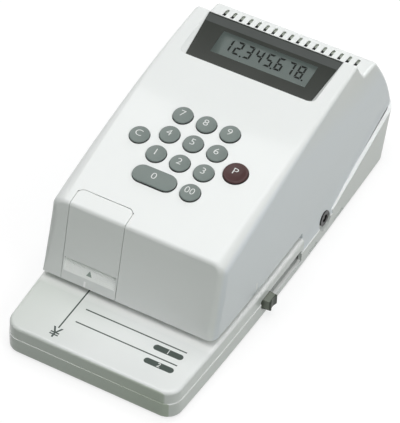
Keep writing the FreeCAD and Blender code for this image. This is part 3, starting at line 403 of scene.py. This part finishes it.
GREY_KEYS = ["key_" + k for k in "0 00 1 2 3 4 5 6 7 8 9 clear".split()]
wear(key_plastic("key_grey_green", (0.185, 0.220, 0.205)), GREY_KEYS)
wear(key_plastic("key_maroon", (0.048, 0.012, 0.011)), ["key_print"])

# %% [markdown]
# ## The window over the display
#
# A smoked acrylic plate closes the pocket.  Its outer face is printed dark grey, except
# for a clear field over the glass, and a plain lighter band runs along its upper edge.
# Alpha opens the field; a transmitting shader would do it too, but takes more samples.
# Outside the field only the outer 0.6 mm is opaque, because an opaque underside would
# show through the field as a dark bar.

# %% Window plate
PLATE_Y, PLATE_Z, PLATE_SLOPE = 185.0, 95.3, 6.6 / 38.4
FIELD_X, FIELD_Y, FIELD_HALF_X, FIELD_HALF_Y = 1.9, 204.7, 32.5, 8.7
PAINT_DEPTH = 0.6
BAND_Y, BAND_HALF = 219.4, 3.0

smoke = Finish("smoked_window", (0.03, 0.034, 0.032), rough=0.12, IOR=1.49,
               Specular_IOR_Level=0.22)
x, y, z = smoke.place()
outer_face = PLATE_Z + (y - PLATE_Y) * PLATE_SLOPE
field = (abs(x - FIELD_X) - FIELD_HALF_X).larger(abs(y - FIELD_Y) - FIELD_HALF_Y)
clear = field.smaller(z - outer_face + PAINT_DEPTH).edge(0.25)
band = (abs(y - BAND_Y) - BAND_HALF).edge(0.3)
tone = smoke.tint(smoke.noise(60.0), (0.026, 0.030, 0.025), (0.034, 0.038, 0.032))
smoke.put("Base Color", smoke.tint(band, tone, (0.075, 0.082, 0.078)))
smoke.put("Roughness", smoke.noise(40.0) * 0.08 + 0.10)
smoke.put("Alpha", 1.0 - clear * 0.965)
wear(smoke, ["display_window"])

# %% [markdown]
# ## The display glass
#
# The liquid crystal glass is a flat grey-green sheet, tilted towards the reader.  About
# half of its tone is emission, because the smoked plate above shades it unevenly.
# Outside the working field the glass is darker.

# %% Display glass
LCD_TILT = math.radians(25)
LCD_Y, LCD_Z = 208.5, 93.9                          # the middle of the glass's upper face
LIT_X, LIT_UP, LIT_HALF_X, LIT_HALF_UP = -0.35, 0.77, 33.8, 8.6

glass = Finish("lcd_grey", (0.20, 0.225, 0.215), rough=0.3, Specular_IOR_Level=0.15,
               Emission_Strength=1.0)
x, y, z = glass.place()
uphill = (y - LCD_Y) * math.cos(LCD_TILT) + (z - LCD_Z) * math.sin(LCD_TILT)
field = (abs(x - LIT_X) - LIT_HALF_X).larger(abs(uphill - LIT_UP) - LIT_HALF_UP).edge(0.2)
tone = glass.tint(glass.noise(90.0), (0.075, 0.090, 0.084), (0.090, 0.106, 0.100))
glass.put("Emission Color", glass.tint(field, (0.0, 0.0, 0.0), (0.068, 0.084, 0.078)))
glass.put("Base Color", glass.tint(field, (0.055, 0.060, 0.055), tone))
glass.put("Roughness", glass.noise(50.0) * 0.1 + 0.2)
wear(glass, ["lcd_glass"])

# %% [markdown]
# ## Metals, plastics and rubbers inside
#
# The pieces inside show through the paper throat and when the flap is open, so they get
# finishes of their own.  Rolled steel has streaks: a noise squeezed twelve times along y
# drives its roughness, its tone and its bump together, so that they can't drift apart.
# Moulded plastic has a fine grain, and rubber holds dust, which makes it lighter and
# rougher at once.

# %% Three families of finish
def metal(name, color, rough, grain):
    finish = Finish(name, color, rough=rough, Metallic=1.0)
    streak = finish.noise(grain, 4.0, 0.6, stretch=(1.0, 12.0, 1.0))
    finish.put("Roughness", streak * 0.22 + (rough - 0.08))
    finish.put("Base Color", finish.mottled(streak, color, 0.9, 1.0))
    finish.bump(streak, 0.08, 0.00005)
    return finish


def plastic(name, color, rough=0.45, grain=900.0):
    finish = Finish(name, color, rough=rough)
    finish.put("Base Color", finish.mottled(finish.noise(80.0, 3.0), color, 0.9, 1.08))
    finish.put("Roughness", finish.noise(140.0) * 0.14 + (rough - 0.07))
    finish.bump(finish.noise(grain), 0.12, 0.0001)
    return finish


def rubber(name, color):
    finish = Finish(name, color, rough=0.8)
    dust = finish.noise(150.0, 5.0, 0.7)
    finish.put("Base Color", finish.tint(dust, color, [c * 1.5 + 0.01 for c in color]))
    finish.put("Roughness", dust * 0.2 + 0.68)
    finish.bump(finish.noise(1500.0, 4.0), 0.25, 0.00012)
    return finish


# %% [markdown]
# ## The guide's knob
#
# The knob in the side slot is grey plastic.  Its outer end and its underside are painted
# near black as shade.  It is one CAD piece, so two masks split its colour instead of two
# materials.

# %% Knob of the paper guide
knob = plastic("knob_grey", (0.150, 0.165, 0.135), 0.42)
x, y, z = knob.place()
# Painted shade on the outer end and the underside.
shaded_faces = x.above(65.8, 0.8).larger(z.below(6.6, 0.5))
tone = knob.tint(knob.noise(160.0, 3.0), (0.175, 0.195, 0.160), (0.215, 0.235, 0.195))
knob.put("Base Color", knob.tint(shaded_faces, tone, (0.026, 0.036, 0.022)))
wear(knob, ["guide_knob"])

# %% [markdown]
# ## Dressing the pieces inside
#
# One line for each finish and the nodes that share it.  Pieces of one stuff share one
# material, so that a change of the stuff reaches them all.

# %% Finishes inside the machine
for finish, pieces in (
        (plastic("knob_dark_grey", (0.040, 0.043, 0.040), 0.38), "power_switch switch_body"),
        (plastic("pocket_black", (0.050, 0.055, 0.050), 0.5), "lcd_holder"),
        (plastic("socket_black", (0.012, 0.012, 0.012), 0.35), "dc_jack buzzer"),
        (metal("brushed_steel", (0.62, 0.63, 0.64), 0.32, 160.0),
         "guide_fence print_chassis wheel_shaft idler_stud hammer_pin pinch_arm"),
        (metal("plated_can", (0.58, 0.58, 0.57), 0.28, 90.0), "wheel_motor feed_motor"),
        (metal("type_metal", (0.42, 0.41, 0.39), 0.38, 240.0), "type_wheel print_hammer"),
        (metal("zinc_plate", (0.66, 0.66, 0.63), 0.30, 300.0),
         "case_screws inner_screws pinch_spring battery_contacts"),
        (rubber("black_rubber", (0.022, 0.022, 0.022)), "rubber_feet feed_roller pinch_roller"),
        (rubber("inked_foam", (0.030, 0.012, 0.045)), "ink_roller"),
        (rubber("key_mat_rubber", (0.42, 0.42, 0.40)), "key_mat"),
        (plastic("gear_acetal", (0.72, 0.71, 0.66), 0.4),
         "idler_gear wheel_gear wheel_pinion feed_shaft feed_pinion ink_spindle"),
        (plastic("cassette_blue_grey", (0.10, 0.13, 0.18), 0.42), "ink_cassette"),
        (plastic("cable_film", (0.62, 0.59, 0.50), 0.35), "flat_cable"),
        (plastic("chip_black", (0.020, 0.020, 0.022), 0.5, 1500.0), "board_parts")):
    wear(finish, pieces.split())

# %% [markdown]
# ## Circuit boards
#
# A board is green lacquer over copper tracks, and the tracks show as lighter, slightly
# raised lanes.  Two families of stripes, each bent by a noise, cross like a routed board
# does, without a drawing of one.

# %% Green circuit boards with tracks
board = Finish("board_green", (0.02, 0.12, 0.05), rough=0.35)
x, y, z = board.place()
track = (x * 0.55 + board.noise(55.0, 1.0) * 3.0).fraction().below(0.30, 0.08)
cross = (y * 0.31 + board.noise(35.0) * 2.0).fraction().below(0.22, 0.08)
routed = board.tint(track.larger(cross), (0.012, 0.085, 0.035), (0.03, 0.17, 0.07))
board.put("Base Color", routed)
board.put("Roughness", 0.42 - track * 0.12)
board.bump(track, 0.15, 0.00005)
wear(board, ["main_board", "key_board", "display_board"])

# %% [markdown]
# ## Coil and cells
#
# The coil's copper is banded, four bands to the millimetre, from one FRACT node.  The
# cells lie across the machine.  One mask over all of them splits their sleeves into two
# plain tones, grey to the left and near black to the right, which is enough for pieces
# that are seen only when the battery door is open.

# %% Copper coil
coil = Finish("enamelled_copper", (0.45, 0.16, 0.06), rough=0.3, Metallic=0.9)
turns = abs((coil.place()[2] * 4.0).fraction() - 0.5)
# Painted shade: each turn is lighter in its middle and darker at its edges, where the turns meet.
coil.put("Base Color", coil.tint(turns * 2.0, (0.55, 0.21, 0.08), (0.30, 0.09, 0.03)))
coil.bump(turns, 0.6, 0.0002)
wear(coil, ["hammer_coil"])

# %% Cells
cell = Finish("cell_sleeve", (0.05, 0.055, 0.06), rough=0.3)
DARK_SLEEVE = (-14.0, 52.0, 190, 230)

sleeve = bar(cell, *DARK_SLEEVE)
cell.put("Base Color", cell.tint(sleeve, (0.35, 0.33, 0.30), (0.03, 0.034, 0.04)))
cell.put("Roughness", cell.noise(60.0) * 0.1 + 0.25)
wear(cell, ["batteries"])

# %% [markdown]
# ## Lettering
#
# The legends are white.  Each is a text curve, turned into a mesh, laid on the hollow top
# of its cap and lifted a hair above it, and it rides on the key's body, so that it goes
# down with the key.  A mesh was chosen over a mask, since the shapes of letters are hard
# to write as sums.

# %% Ink and lettering
white_ink = Finish("legend_white", (0.68, 0.70, 0.68), rough=0.4)
white_ink.put("Roughness", white_ink.noise(300.0) * 0.1 + 0.35)
dark_ink = Finish("print_dark", INK, rough=0.45)
dark_ink.put("Roughness", dark_ink.noise(300.0) * 0.1 + 0.4)


def add_piece(name, data, material=None):
    """Put a mesh, a text, a light or a camera into the scene under a name."""
    piece = bpy.data.objects.new(name, data)
    bpy.context.scene.collection.objects.link(piece)
    if material:
        data.materials.append(material)
    return piece


def lettering(name, text, size, finish, place, body, drape=None, lift=0.03, wide=1.0,
              bold=0.0):
    """Text as a thin mesh on a surface; drape bends it to the surface's height."""
    curve = bpy.data.curves.new(name, "FONT")
    curve.body = text
    curve.size = size
    curve.align_x, curve.align_y = "CENTER", "CENTER"
    curve.offset = bold
    holder = add_piece(name, curve)
    bpy.context.view_layer.update()
    mesh = bpy.data.meshes.new_from_object(holder)
    bpy.data.objects.remove(holder)
    work = bmesh.new()
    work.from_mesh(mesh)
    bmesh.ops.remove_doubles(work, verts=work.verts, dist=0.001)
    for vert in work.verts:
        vert.co.x *= wide
        height = drape(vert.co.x, vert.co.y) if drape else 0.0
        vert.co.z = height + lift
    bmesh.ops.recalc_face_normals(work, faces=work.faces)
    if sum(face.normal.z for face in work.faces) < 0:
        bmesh.ops.reverse_faces(work, faces=work.faces)
    bmesh.ops.scale(work, vec=(MM, MM, MM), verts=work.verts)
    bmesh.ops.transform(work, matrix=place, verts=work.verts)
    work.to_mesh(mesh)
    work.free()
    piece = add_piece(name, mesh, finish.material)
    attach(piece, body)


# %% [markdown]
# ## A legend on every key
#
# The keys stand in columns and rows of a tilted plane.  The top of a cap is part of a
# large sphere, and the legend sits a little up and left of its middle.

# %% Put a legend on every key
KEY_COLUMN, KEY_ROW, KEY_X = 16.0, 16.1, -1.65
DISH_RADIUS = 34.0
OFF_MIDDLE = 0.85
LEGENDS = {"key_7": ("7", -1, 2), "key_8": ("8", 0, 2), "key_9": ("9", 1, 2),
           "key_4": ("4", -1, 1), "key_5": ("5", 0, 1), "key_6": ("6", 1, 1),
           "key_1": ("1", -1, 0), "key_2": ("2", 0, 0), "key_3": ("3", 1, 0),
           "key_0": ("0", -0.5, -1), "key_00": ("00", 1, -1),
           "key_clear": ("C", -2, 0.5), "key_print": ("P", 2.06, 0.5)}


def key_frame(col, row):
    """Matrix of a key's own plane, in metres."""
    along = row * KEY_ROW
    spot = at(KEY_X + col * KEY_COLUMN, KEY_Y + along * math.cos(KEY_TILT),
              KEY_Z + along * math.sin(KEY_TILT))
    return Matrix.Translation(spot) @ Matrix.Rotation(KEY_TILT, 4, "X")


def dish(x, y):
    """Height of the cap's hollow top at a point, in millimetres from the key's plane."""
    return DISH_RADIUS - 0.55 - math.sqrt(DISH_RADIUS ** 2 - x * x - y * y)


for key, (text, col, row) in LEGENDS.items():
    spot = key_frame(col, row) @ Matrix.Translation((-OFF_MIDDLE * MM, OFF_MIDDLE * MM, 0))
    lettering("legend_" + key[4:], text, 6.3, white_ink, spot, key, lift=0.06,
              drape=lambda a, b: dish(0 if key == "key_0" else a - OFF_MIDDLE, b + OFF_MIDDLE),
              wide=1.18 if len(text) == 1 else 1.05, bold=-0.05)
print("legends:", len(LEGENDS))

# %% [markdown]
# ## The digits of the display
#
# A seven-segment digit is seven thin strokes, mitred where they meet.  Every digit is
# drawn from the same seven, leaned over by six degrees, and laid 0.08 mm above the glass.
# The built-in font has other shapes, so the strokes are outlines written out as corners.

# %% The strokes of a digit
SEGMENTS = {"1": "bc", "2": "abged", "3": "abgcd", "4": "fgbc", "5": "afgcd",
            "6": "afgedc", "7": "abc", "8": "abcdefg"}
DIGIT_W, DIGIT_H, STROKE, PITCH = 3.6, 7.85, 1.30, 7.12
LEAN = math.tan(math.radians(6))


def strokes(w, h, r):
    """The seven strokes of a digit as outlines; r is half a stroke's width."""
    mid = h / 2
    right = [(w + r, h + r * 0.8), (w + r, mid + 0.1), (w, mid + 0.1), (w - r, mid + r),
             (w - r, h - r)]
    top = [(-r * 0.6, h + r), (w + r * 0.6, h + r), (w - r, h - r), (r, h - r)]
    middle = [(0.1, mid), (r, mid + r), (w - r, mid + r), (w - 0.1, mid), (w - r, mid - r),
              (r, mid - r)]
    left = [(w - x, y) for x, y in right]

    def low(outline):
        return [(x, h - y) for x, y in outline]

    return {"a": top, "b": right, "c": low(right), "d": low(top), "e": low(left), "f": left,
            "g": middle}


def draw_digit(work, text, x):
    """Draw one digit whose lower left corner is at x, each stroke a little short of the next."""
    outlines = strokes(DIGIT_W, DIGIT_H, STROKE / 2)
    for name in SEGMENTS[text]:
        ring = [Vector(point) for point in outlines[name]]
        centre = sum(ring, Vector((0, 0))) / len(ring)
        ring = [centre + (point - centre) * 0.95 for point in ring]
        work.faces.new([work.verts.new((x + point.x, point.y, 0)) for point in ring])


# %% All eight digits, with their points
SHIFT_X, SHIFT_Y, LIFT = -26.96, -2.85, 0.08        # on the glass, from its middle
DOT_X, DOT_Y, DOT_HALF = 5.3, -0.6, 0.55
CORNERS = ((-1, -1), (1, -1), (1, 1), (-1, 1))

lcd_black = Finish("lcd_black", (0.004, 0.005, 0.004), rough=0.35, Specular_IOR_Level=0.1)
lcd_black.put("Roughness", lcd_black.noise(300.0) * 0.1 + 0.3)
work = bmesh.new()
for i, text in enumerate("12345678"):
    draw_digit(work, text, i * PITCH)
    if text in "258":
        x = i * PITCH + DOT_X
        work.faces.new([work.verts.new((x + a * DOT_HALF, DOT_Y + b * DOT_HALF, 0))
                        for a, b in CORNERS])
for vert in work.verts:
    lean = (vert.co.y - DIGIT_H / 2) * LEAN
    vert.co += Vector((lean + SHIFT_X, SHIFT_Y, LIFT))
for face in work.faces:
    face.normal_update()
    if face.normal.z < 0:
        face.normal_flip()
bmesh.ops.scale(work, vec=(MM, MM, MM), verts=work.verts)
on_glass = Matrix.Translation(at(0.0, LCD_Y, LCD_Z)) @ Matrix.Rotation(LCD_TILT, 4, "X")
bmesh.ops.transform(work, matrix=on_glass, verts=work.verts)
mesh = bpy.data.meshes.new("display_digits")
work.to_mesh(mesh)
work.free()
digits = add_piece("display_digits", mesh, lcd_black.material)
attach(digits, "base")
print("display segments:", len(mesh.polygons))

# %% [markdown]
# ## Signs on the tray
#
# A currency sign stands at the foot of the long line, and the two pills carry a plain
# number each.  They use the same lettering, laid flat on the deck.

# %% Currency sign and plain numbers
SIGNS = (("tray_sign", "¥", 11.5, dark_ink, -27.4, 8.7),
         ("tray_mark_1", "1", 4.6, white_ink, *PILLS[0]),
         ("tray_mark_2", "2", 4.6, white_ink, *PILLS[1]))
for name, text, size, ink, x, y in SIGNS:
    spot = Matrix.Translation(at(x, y, Z_DECK))
    lettering(name, text, size, ink, spot, "base", bold=0.06)
print("signs on the tray:", len(SIGNS))

# %% [markdown]
# ## Repeated parts with Geometry Nodes
#
# Coil turns, chip legs and grip ribs are one small shape many times over.  Each gets a
# tree with named inputs for its sizes.  The tree is read as a modifier, its result is
# kept as one plain mesh, and the modifier goes away again.  A tree was chosen over a
# loop in Python because its sizes can be changed afterwards, one input at a time.

# %% A builder for geometry trees
class Pattern:
    """A geometry tree with named sizes, given in metres."""

    def __init__(self, name, **sizes):
        self.sizes = sizes
        self.tree = bpy.data.node_groups.new(name, "GeometryNodeTree")
        face = self.tree.interface
        face.new_socket("Geometry", in_out="OUTPUT", socket_type="NodeSocketGeometry")
        face.new_socket("Geometry", in_out="INPUT", socket_type="NodeSocketGeometry")
        for label, value in sizes.items():
            kind = "NodeSocketInt" if isinstance(value, int) else "NodeSocketFloat"
            face.new_socket(label, in_out="INPUT", socket_type=kind)
        self.given = self.tree.nodes.new("NodeGroupInput").outputs

    def node(self, kind, values=None, **settings):
        """Add a node and give its first output."""
        made = self.tree.nodes.new(kind)
        for label, value in settings.items():
            setattr(made, label, value)
        for label, value in (values or {}).items():
            if isinstance(value, bpy.types.NodeSocket):
                self.tree.links.new(value, made.inputs[label])
            else:
                made.inputs[label].default_value = value
        return made.outputs[0]

    def maths(self, operation, a, b):
        return self.node("ShaderNodeMath", {0: a, 1: b}, operation=operation)

    def vector(self, x=0.0, y=0.0, z=0.0):
        return self.node("ShaderNodeCombineXYZ", {0: x, 1: y, 2: z})

    def block(self, x, y, z):
        return self.node("GeometryNodeMeshCube", {"Size": self.vector(x, y, z)})

    def row(self, count, start, step):
        """Points in a straight row."""
        return self.node("GeometryNodeMeshLine", {"Count": count, "Start Location": tuple(start),
                                                  "Offset": step})

    def copies(self, points, shape, **more):
        values = {"Points": points, "Instance": shape, **more}
        return self.node("GeometryNodeInstanceOnPoints", values)

    def grow(self, name, geometry, finish, body, slot, host=((), ())):
        """Keep what the tree makes from the host's points and edges as one mesh."""
        real = self.node("GeometryNodeRealizeInstances", {0: geometry})
        done = self.node("GeometryNodeSetMaterial", {"Geometry": real, "Material": finish.material})
        self.tree.links.new(done, self.tree.nodes.new("NodeGroupOutput").inputs[0])
        mesh = bpy.data.meshes.new(name)
        mesh.from_pydata([at(*point) for point in host[0]], host[1], [])
        piece = add_piece(name, mesh)
        modifier = piece.modifiers.new("grow", "NODES")
        modifier.node_group = self.tree
        for item in self.tree.interface.items_tree:
            if item.in_out == "INPUT" and item.name in self.sizes:
                modifier[item.identifier] = self.sizes[item.name]
        piece.update_tag()
        bpy.context.view_layer.update()
        seen = piece.evaluated_get(bpy.context.evaluated_depsgraph_get())
        shape = bpy.data.meshes.new_from_object(seen)
        piece.modifiers.clear()
        piece.data = shape
        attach(piece, body)
        print(name, "faces:", len(shape.polygons))


# %% [markdown]
# ## The turns of the hammer coil
#
# The winding is 10 mm across.  It could be a helix swept along a curve; ten closed rings
# of wire, one above the other, look the same from outside and take only two circles.

# %% Coil turns
winding = Pattern("coil_turns", Turns=10, Pitch=0.44 * MM, Radius=4.98 * MM, Wire=0.20 * MM)
loop = winding.node("GeometryNodeCurvePrimitiveCircle",
                    {"Resolution": 48, "Radius": winding.given["Radius"]})
wire = winding.node("GeometryNodeCurvePrimitiveCircle",
                    {"Resolution": 8, "Radius": winding.given["Wire"]})
ring = winding.node("GeometryNodeCurveToMesh", {"Curve": loop, "Profile Curve": wire})
stack = winding.row(winding.given["Turns"], at(-28.0, 122.0, 4.72),
                    winding.vector(z=winding.given["Pitch"]))
winding.grow("coil_turns", winding.copies(stack, ring), coil, "base", "coil_copper")

# %% [markdown]
# ## The legs of the chips
#
# A chip stands on two rows of bent legs: a shoulder out of its side, a shin down to the
# board and a toe on it.  The rows are edges of a small host mesh.  The tree divides each
# edge by the pitch and turns every leg along its edge, so an edge's direction decides
# which way its toes point.

# %% One leg, and where it goes
THIN = 0.2 * MM                                     # thickness of the leg's metal
tinned = metal("tinned_leg", (0.70, 0.70, 0.68), 0.30, 600.0)
legs = Pattern("chip_legs", Pitch=1.27 * MM, Width=0.42 * MM, Reach=0.9 * MM, Drop=1.3 * MM)
width, drop = legs.given["Width"], legs.given["Drop"]
half_reach = legs.maths("MULTIPLY", legs.given["Reach"], 0.5)
half_drop = legs.maths("MULTIPLY", drop, 0.5)
quarter = legs.maths("MULTIPLY", half_reach, 0.5)
outer = legs.maths("ADD", half_reach, quarter)
leg = legs.node("GeometryNodeJoinGeometry")
for part, spot in ((legs.block(width, half_reach, THIN), legs.vector(y=quarter, z=drop)),
                   (legs.block(width, THIN, drop), legs.vector(y=half_reach, z=half_drop)),
                   (legs.block(width, half_reach, THIN), legs.vector(y=outer, z=THIN / 2))):
    moved = legs.node("GeometryNodeTransform", {"Geometry": part, "Translation": spot})
    legs.tree.links.new(moved, leg.node.inputs[0])
sides = legs.node("GeometryNodeMeshToCurve", {0: legs.given["Geometry"]})
spots = legs.node("GeometryNodeResampleCurve", {"Curve": sides, "Length": legs.given["Pitch"]},
                  mode="LENGTH")
along = legs.node("FunctionNodeAlignRotationToVector",
                  {"Vector": legs.node("GeometryNodeInputTangent")}, axis="X", pivot_axis="Z")
rows = legs.copies(spots, leg, Rotation=along)

# %% The rows along both long sides of each chip
BOARD_FACE = 31.62
ROW_INSET = 1.2
CHIPS = ((-22, 205, 38, 14), (14, 196, 20, 20), (14, 224, 18, 7), (-24, 184, 9, 20),
         (-6, 184, 9, 14))                          # middle and size of each
points, edges = [], []
for x, y, wide, deep in CHIPS:
    for side in (-1, 1):
        for end in (side, -side):
            if wide >= deep:
                spot = (x + end * (wide / 2 - ROW_INSET), y + side * deep / 2)
            else:
                spot = (x - side * wide / 2, y + end * (deep / 2 - ROW_INSET))
            points.append((*spot, BOARD_FACE))
        edges.append((len(points) - 2, len(points) - 1))
legs.grow("chip_legs", rows, tinned, "base", "zinc", host=(points, edges))

# %% [markdown]
# ## The ribs in the finger pull
#
# Nine fine ribs give the finger a hold.  They lie one above the other on the sloping
# floor of the pull, so the step from rib to rib goes back as it goes up.

# %% Pull ribs
NOSE_FOOT_Y, NOSE_FOOT_Z, NOSE_LEAN = 45.0, 25.2, 0.219
PULL_FOOT, PULL_DEPTH, PULL_HEIGHT = 31.5, 2.7, 9.5
PULL_SLOPE = 0.503                                  # how far the pull's floor goes back per rise
FIRST_RIB = 32.2
RIB_DEPTH = 0.24 * MM

ribs = Pattern("pull_ribs", Ribs=9, Pitch=1.0 * MM, Length=34.0 * MM, Height=0.30 * MM)
rise = ribs.given["Pitch"]
back = ribs.maths("MULTIPLY", rise, PULL_SLOPE)
first_y = (NOSE_FOOT_Y + (FIRST_RIB - NOSE_FOOT_Z) * NOSE_LEAN
           + (FIRST_RIB - PULL_FOOT) * (PULL_DEPTH / PULL_HEIGHT))
ladder = ribs.row(ribs.given["Ribs"], at(-26.9, first_y, FIRST_RIB), ribs.vector(y=back, z=rise))
rib = ribs.block(ribs.given["Length"], RIB_DEPTH, ribs.given["Height"])
ribs.grow("pull_ribs", ribs.copies(ladder, rib), flap, "ink_cover", "body_white")

# %% [markdown]
# ## The floor
#
# A pale floor carries the soft shadow.  To the camera it is mostly emission, so that it
# stays white, and brighter still far from the machine.  To all other rays it is a dark,
# slightly green grey, which keeps its bounce off the walls low.  One plain white floor
# could not do both.

# %% Floor
FLOOR_HALF = 6.0
floor_mesh = bpy.data.meshes.new("floor")
floor_mesh.from_pydata([(a * FLOOR_HALF, b * FLOOR_HALF, 0) for a, b in CORNERS], [],
                       [(0, 1, 2, 3)])
SEEN_RAYS = ("Is Camera Ray", "Is Glossy Ray", "Is Transmission Ray")

paper = Finish("pale_floor", (0.93, 0.93, 0.93), rough=0.9, Emission_Strength=1.0)
rays = [paper.node("ShaderNodeLightPath", output=kind) for kind in SEEN_RAYS]
seen = rays[0].larger(rays[1]).larger(rays[2])
x, y, z = paper.place()
x, y = x - MIDDLE.x, y - MIDDLE.y
far = (x * x + y * y).maths("SQRT").above(600.0, 500.0)
glow = paper.tint(far, (0.72, 0.72, 0.72), (1.0, 1.0, 1.0))
paper.put("Base Color", paper.tint(seen, (0.10, 0.14, 0.09), (0.31, 0.31, 0.31)))
paper.put("Emission Color", paper.tint(seen, (0, 0, 0), glow))
floor = add_piece("floor", floor_mesh, paper.material)

# %% [markdown]
# ## The room
#
# Seen directly or in a reflection, the room has white walls under a dim ceiling; that
# gradient is what a glossy top face shows.  As a light it is weak, so that the lamps
# decide the shading.

# %% World, white to the camera
CEILING = (("From Min", 0.35), ("From Max", 0.75), ("To Min", 1.0), ("To Max", 0.35))
ROOM_LIGHT = 0.18

world = bpy.data.worlds.new("studio")
world.use_nodes = True
bpy.context.scene.world = world
sky = world.node_tree
rays = sky.nodes.new("ShaderNodeLightPath")
seen = rays.outputs[SEEN_RAYS[0]]
for kind in SEEN_RAYS[1:]:
    either = sky.nodes.new("ShaderNodeMath")
    either.operation = "MAXIMUM"
    sky.links.new(seen, either.inputs[0])
    sky.links.new(rays.outputs[kind], either.inputs[1])
    seen = either.outputs[0]
where = sky.nodes.new("ShaderNodeSeparateXYZ")
sky.links.new(sky.nodes.new("ShaderNodeTexCoord").outputs["Generated"], where.inputs[0])
fade = sky.nodes.new("ShaderNodeMapRange")
sky.links.new(where.outputs["Z"], fade.inputs["Value"])
for label, value in CEILING:
    fade.inputs[label].default_value = value
level = sky.nodes.new("ShaderNodeMix")
level.data_type = "FLOAT"
level.inputs[2].default_value = ROOM_LIGHT
sky.links.new(fade.outputs[0], level.inputs[3])
sky.links.new(seen, level.inputs[0])
background = sky.nodes["Background"]
background.inputs["Color"].default_value = (0.96, 0.98, 1.0, 1.0)
sky.links.new(level.outputs[0], background.inputs["Strength"])
print("world nodes:", len(sky.nodes))

# %% [markdown]
# ## Lamps
#
# A large lamp above gives the top its even tone and the soft shadow.  A weaker one on the
# right keeps the side wall lighter than the nose, one behind lights the rear slope, and
# a small one makes the glints on the rounded corners.

# %% Lamps
TARGET = Vector((0, 0, 0.05))
LAMPS = (("top_lamp", (-0.10, 0.0, 1.35), (1.3, 1.1), 12.6),
         ("right_fill", (1.20, -0.50, 1.00), (0.8, 0.8), 6.8),
         ("glint", (0.55, -0.95, 1.20), (0.16, 0.16), 1.2),
         ("rear_fill", (0.25, 1.35, 0.80), (0.9, 0.6), 5.0))
for name, place, size, power in LAMPS:
    light = bpy.data.lights.new(name, "AREA")
    light.shape = "RECTANGLE"
    light.size, light.size_y = size
    light.energy = power
    holder = add_piece(name, light)
    holder.location = place
    holder.rotation_euler = (TARGET - Vector(place)).to_track_quat("-Z", "Y").to_euler()
print("lamps:", len(LAMPS))

# %% [markdown]
# ## Camera
#
# The machine is seen from the front right corner and from well above, with a long lens
# from about a metre and a half away, so that its straight edges hardly converge.

# %% Camera
eye = bpy.data.cameras.new("camera")
eye.sensor_fit = "HORIZONTAL"
eye.sensor_width = 36.0
eye.lens = 227.05
eye.shift_x = 0.02434
eye.shift_y = -0.00124
eye.clip_end = 20.0
camera = add_piece("camera", eye)
camera.matrix_world = Matrix(((0.870114, -0.359622, 0.337008, 0.509426),
                              (0.492367, 0.603956, -0.626748, -0.969091),
                              (0.021855, 0.711273, 0.702576, 1.107401),
                              (0, 0, 0, 1)))
bpy.context.scene.camera = camera
bpy.context.scene.view_settings.view_transform = "Standard"
print("camera at", tuple(round(v, 3) for v in camera.matrix_world.translation))
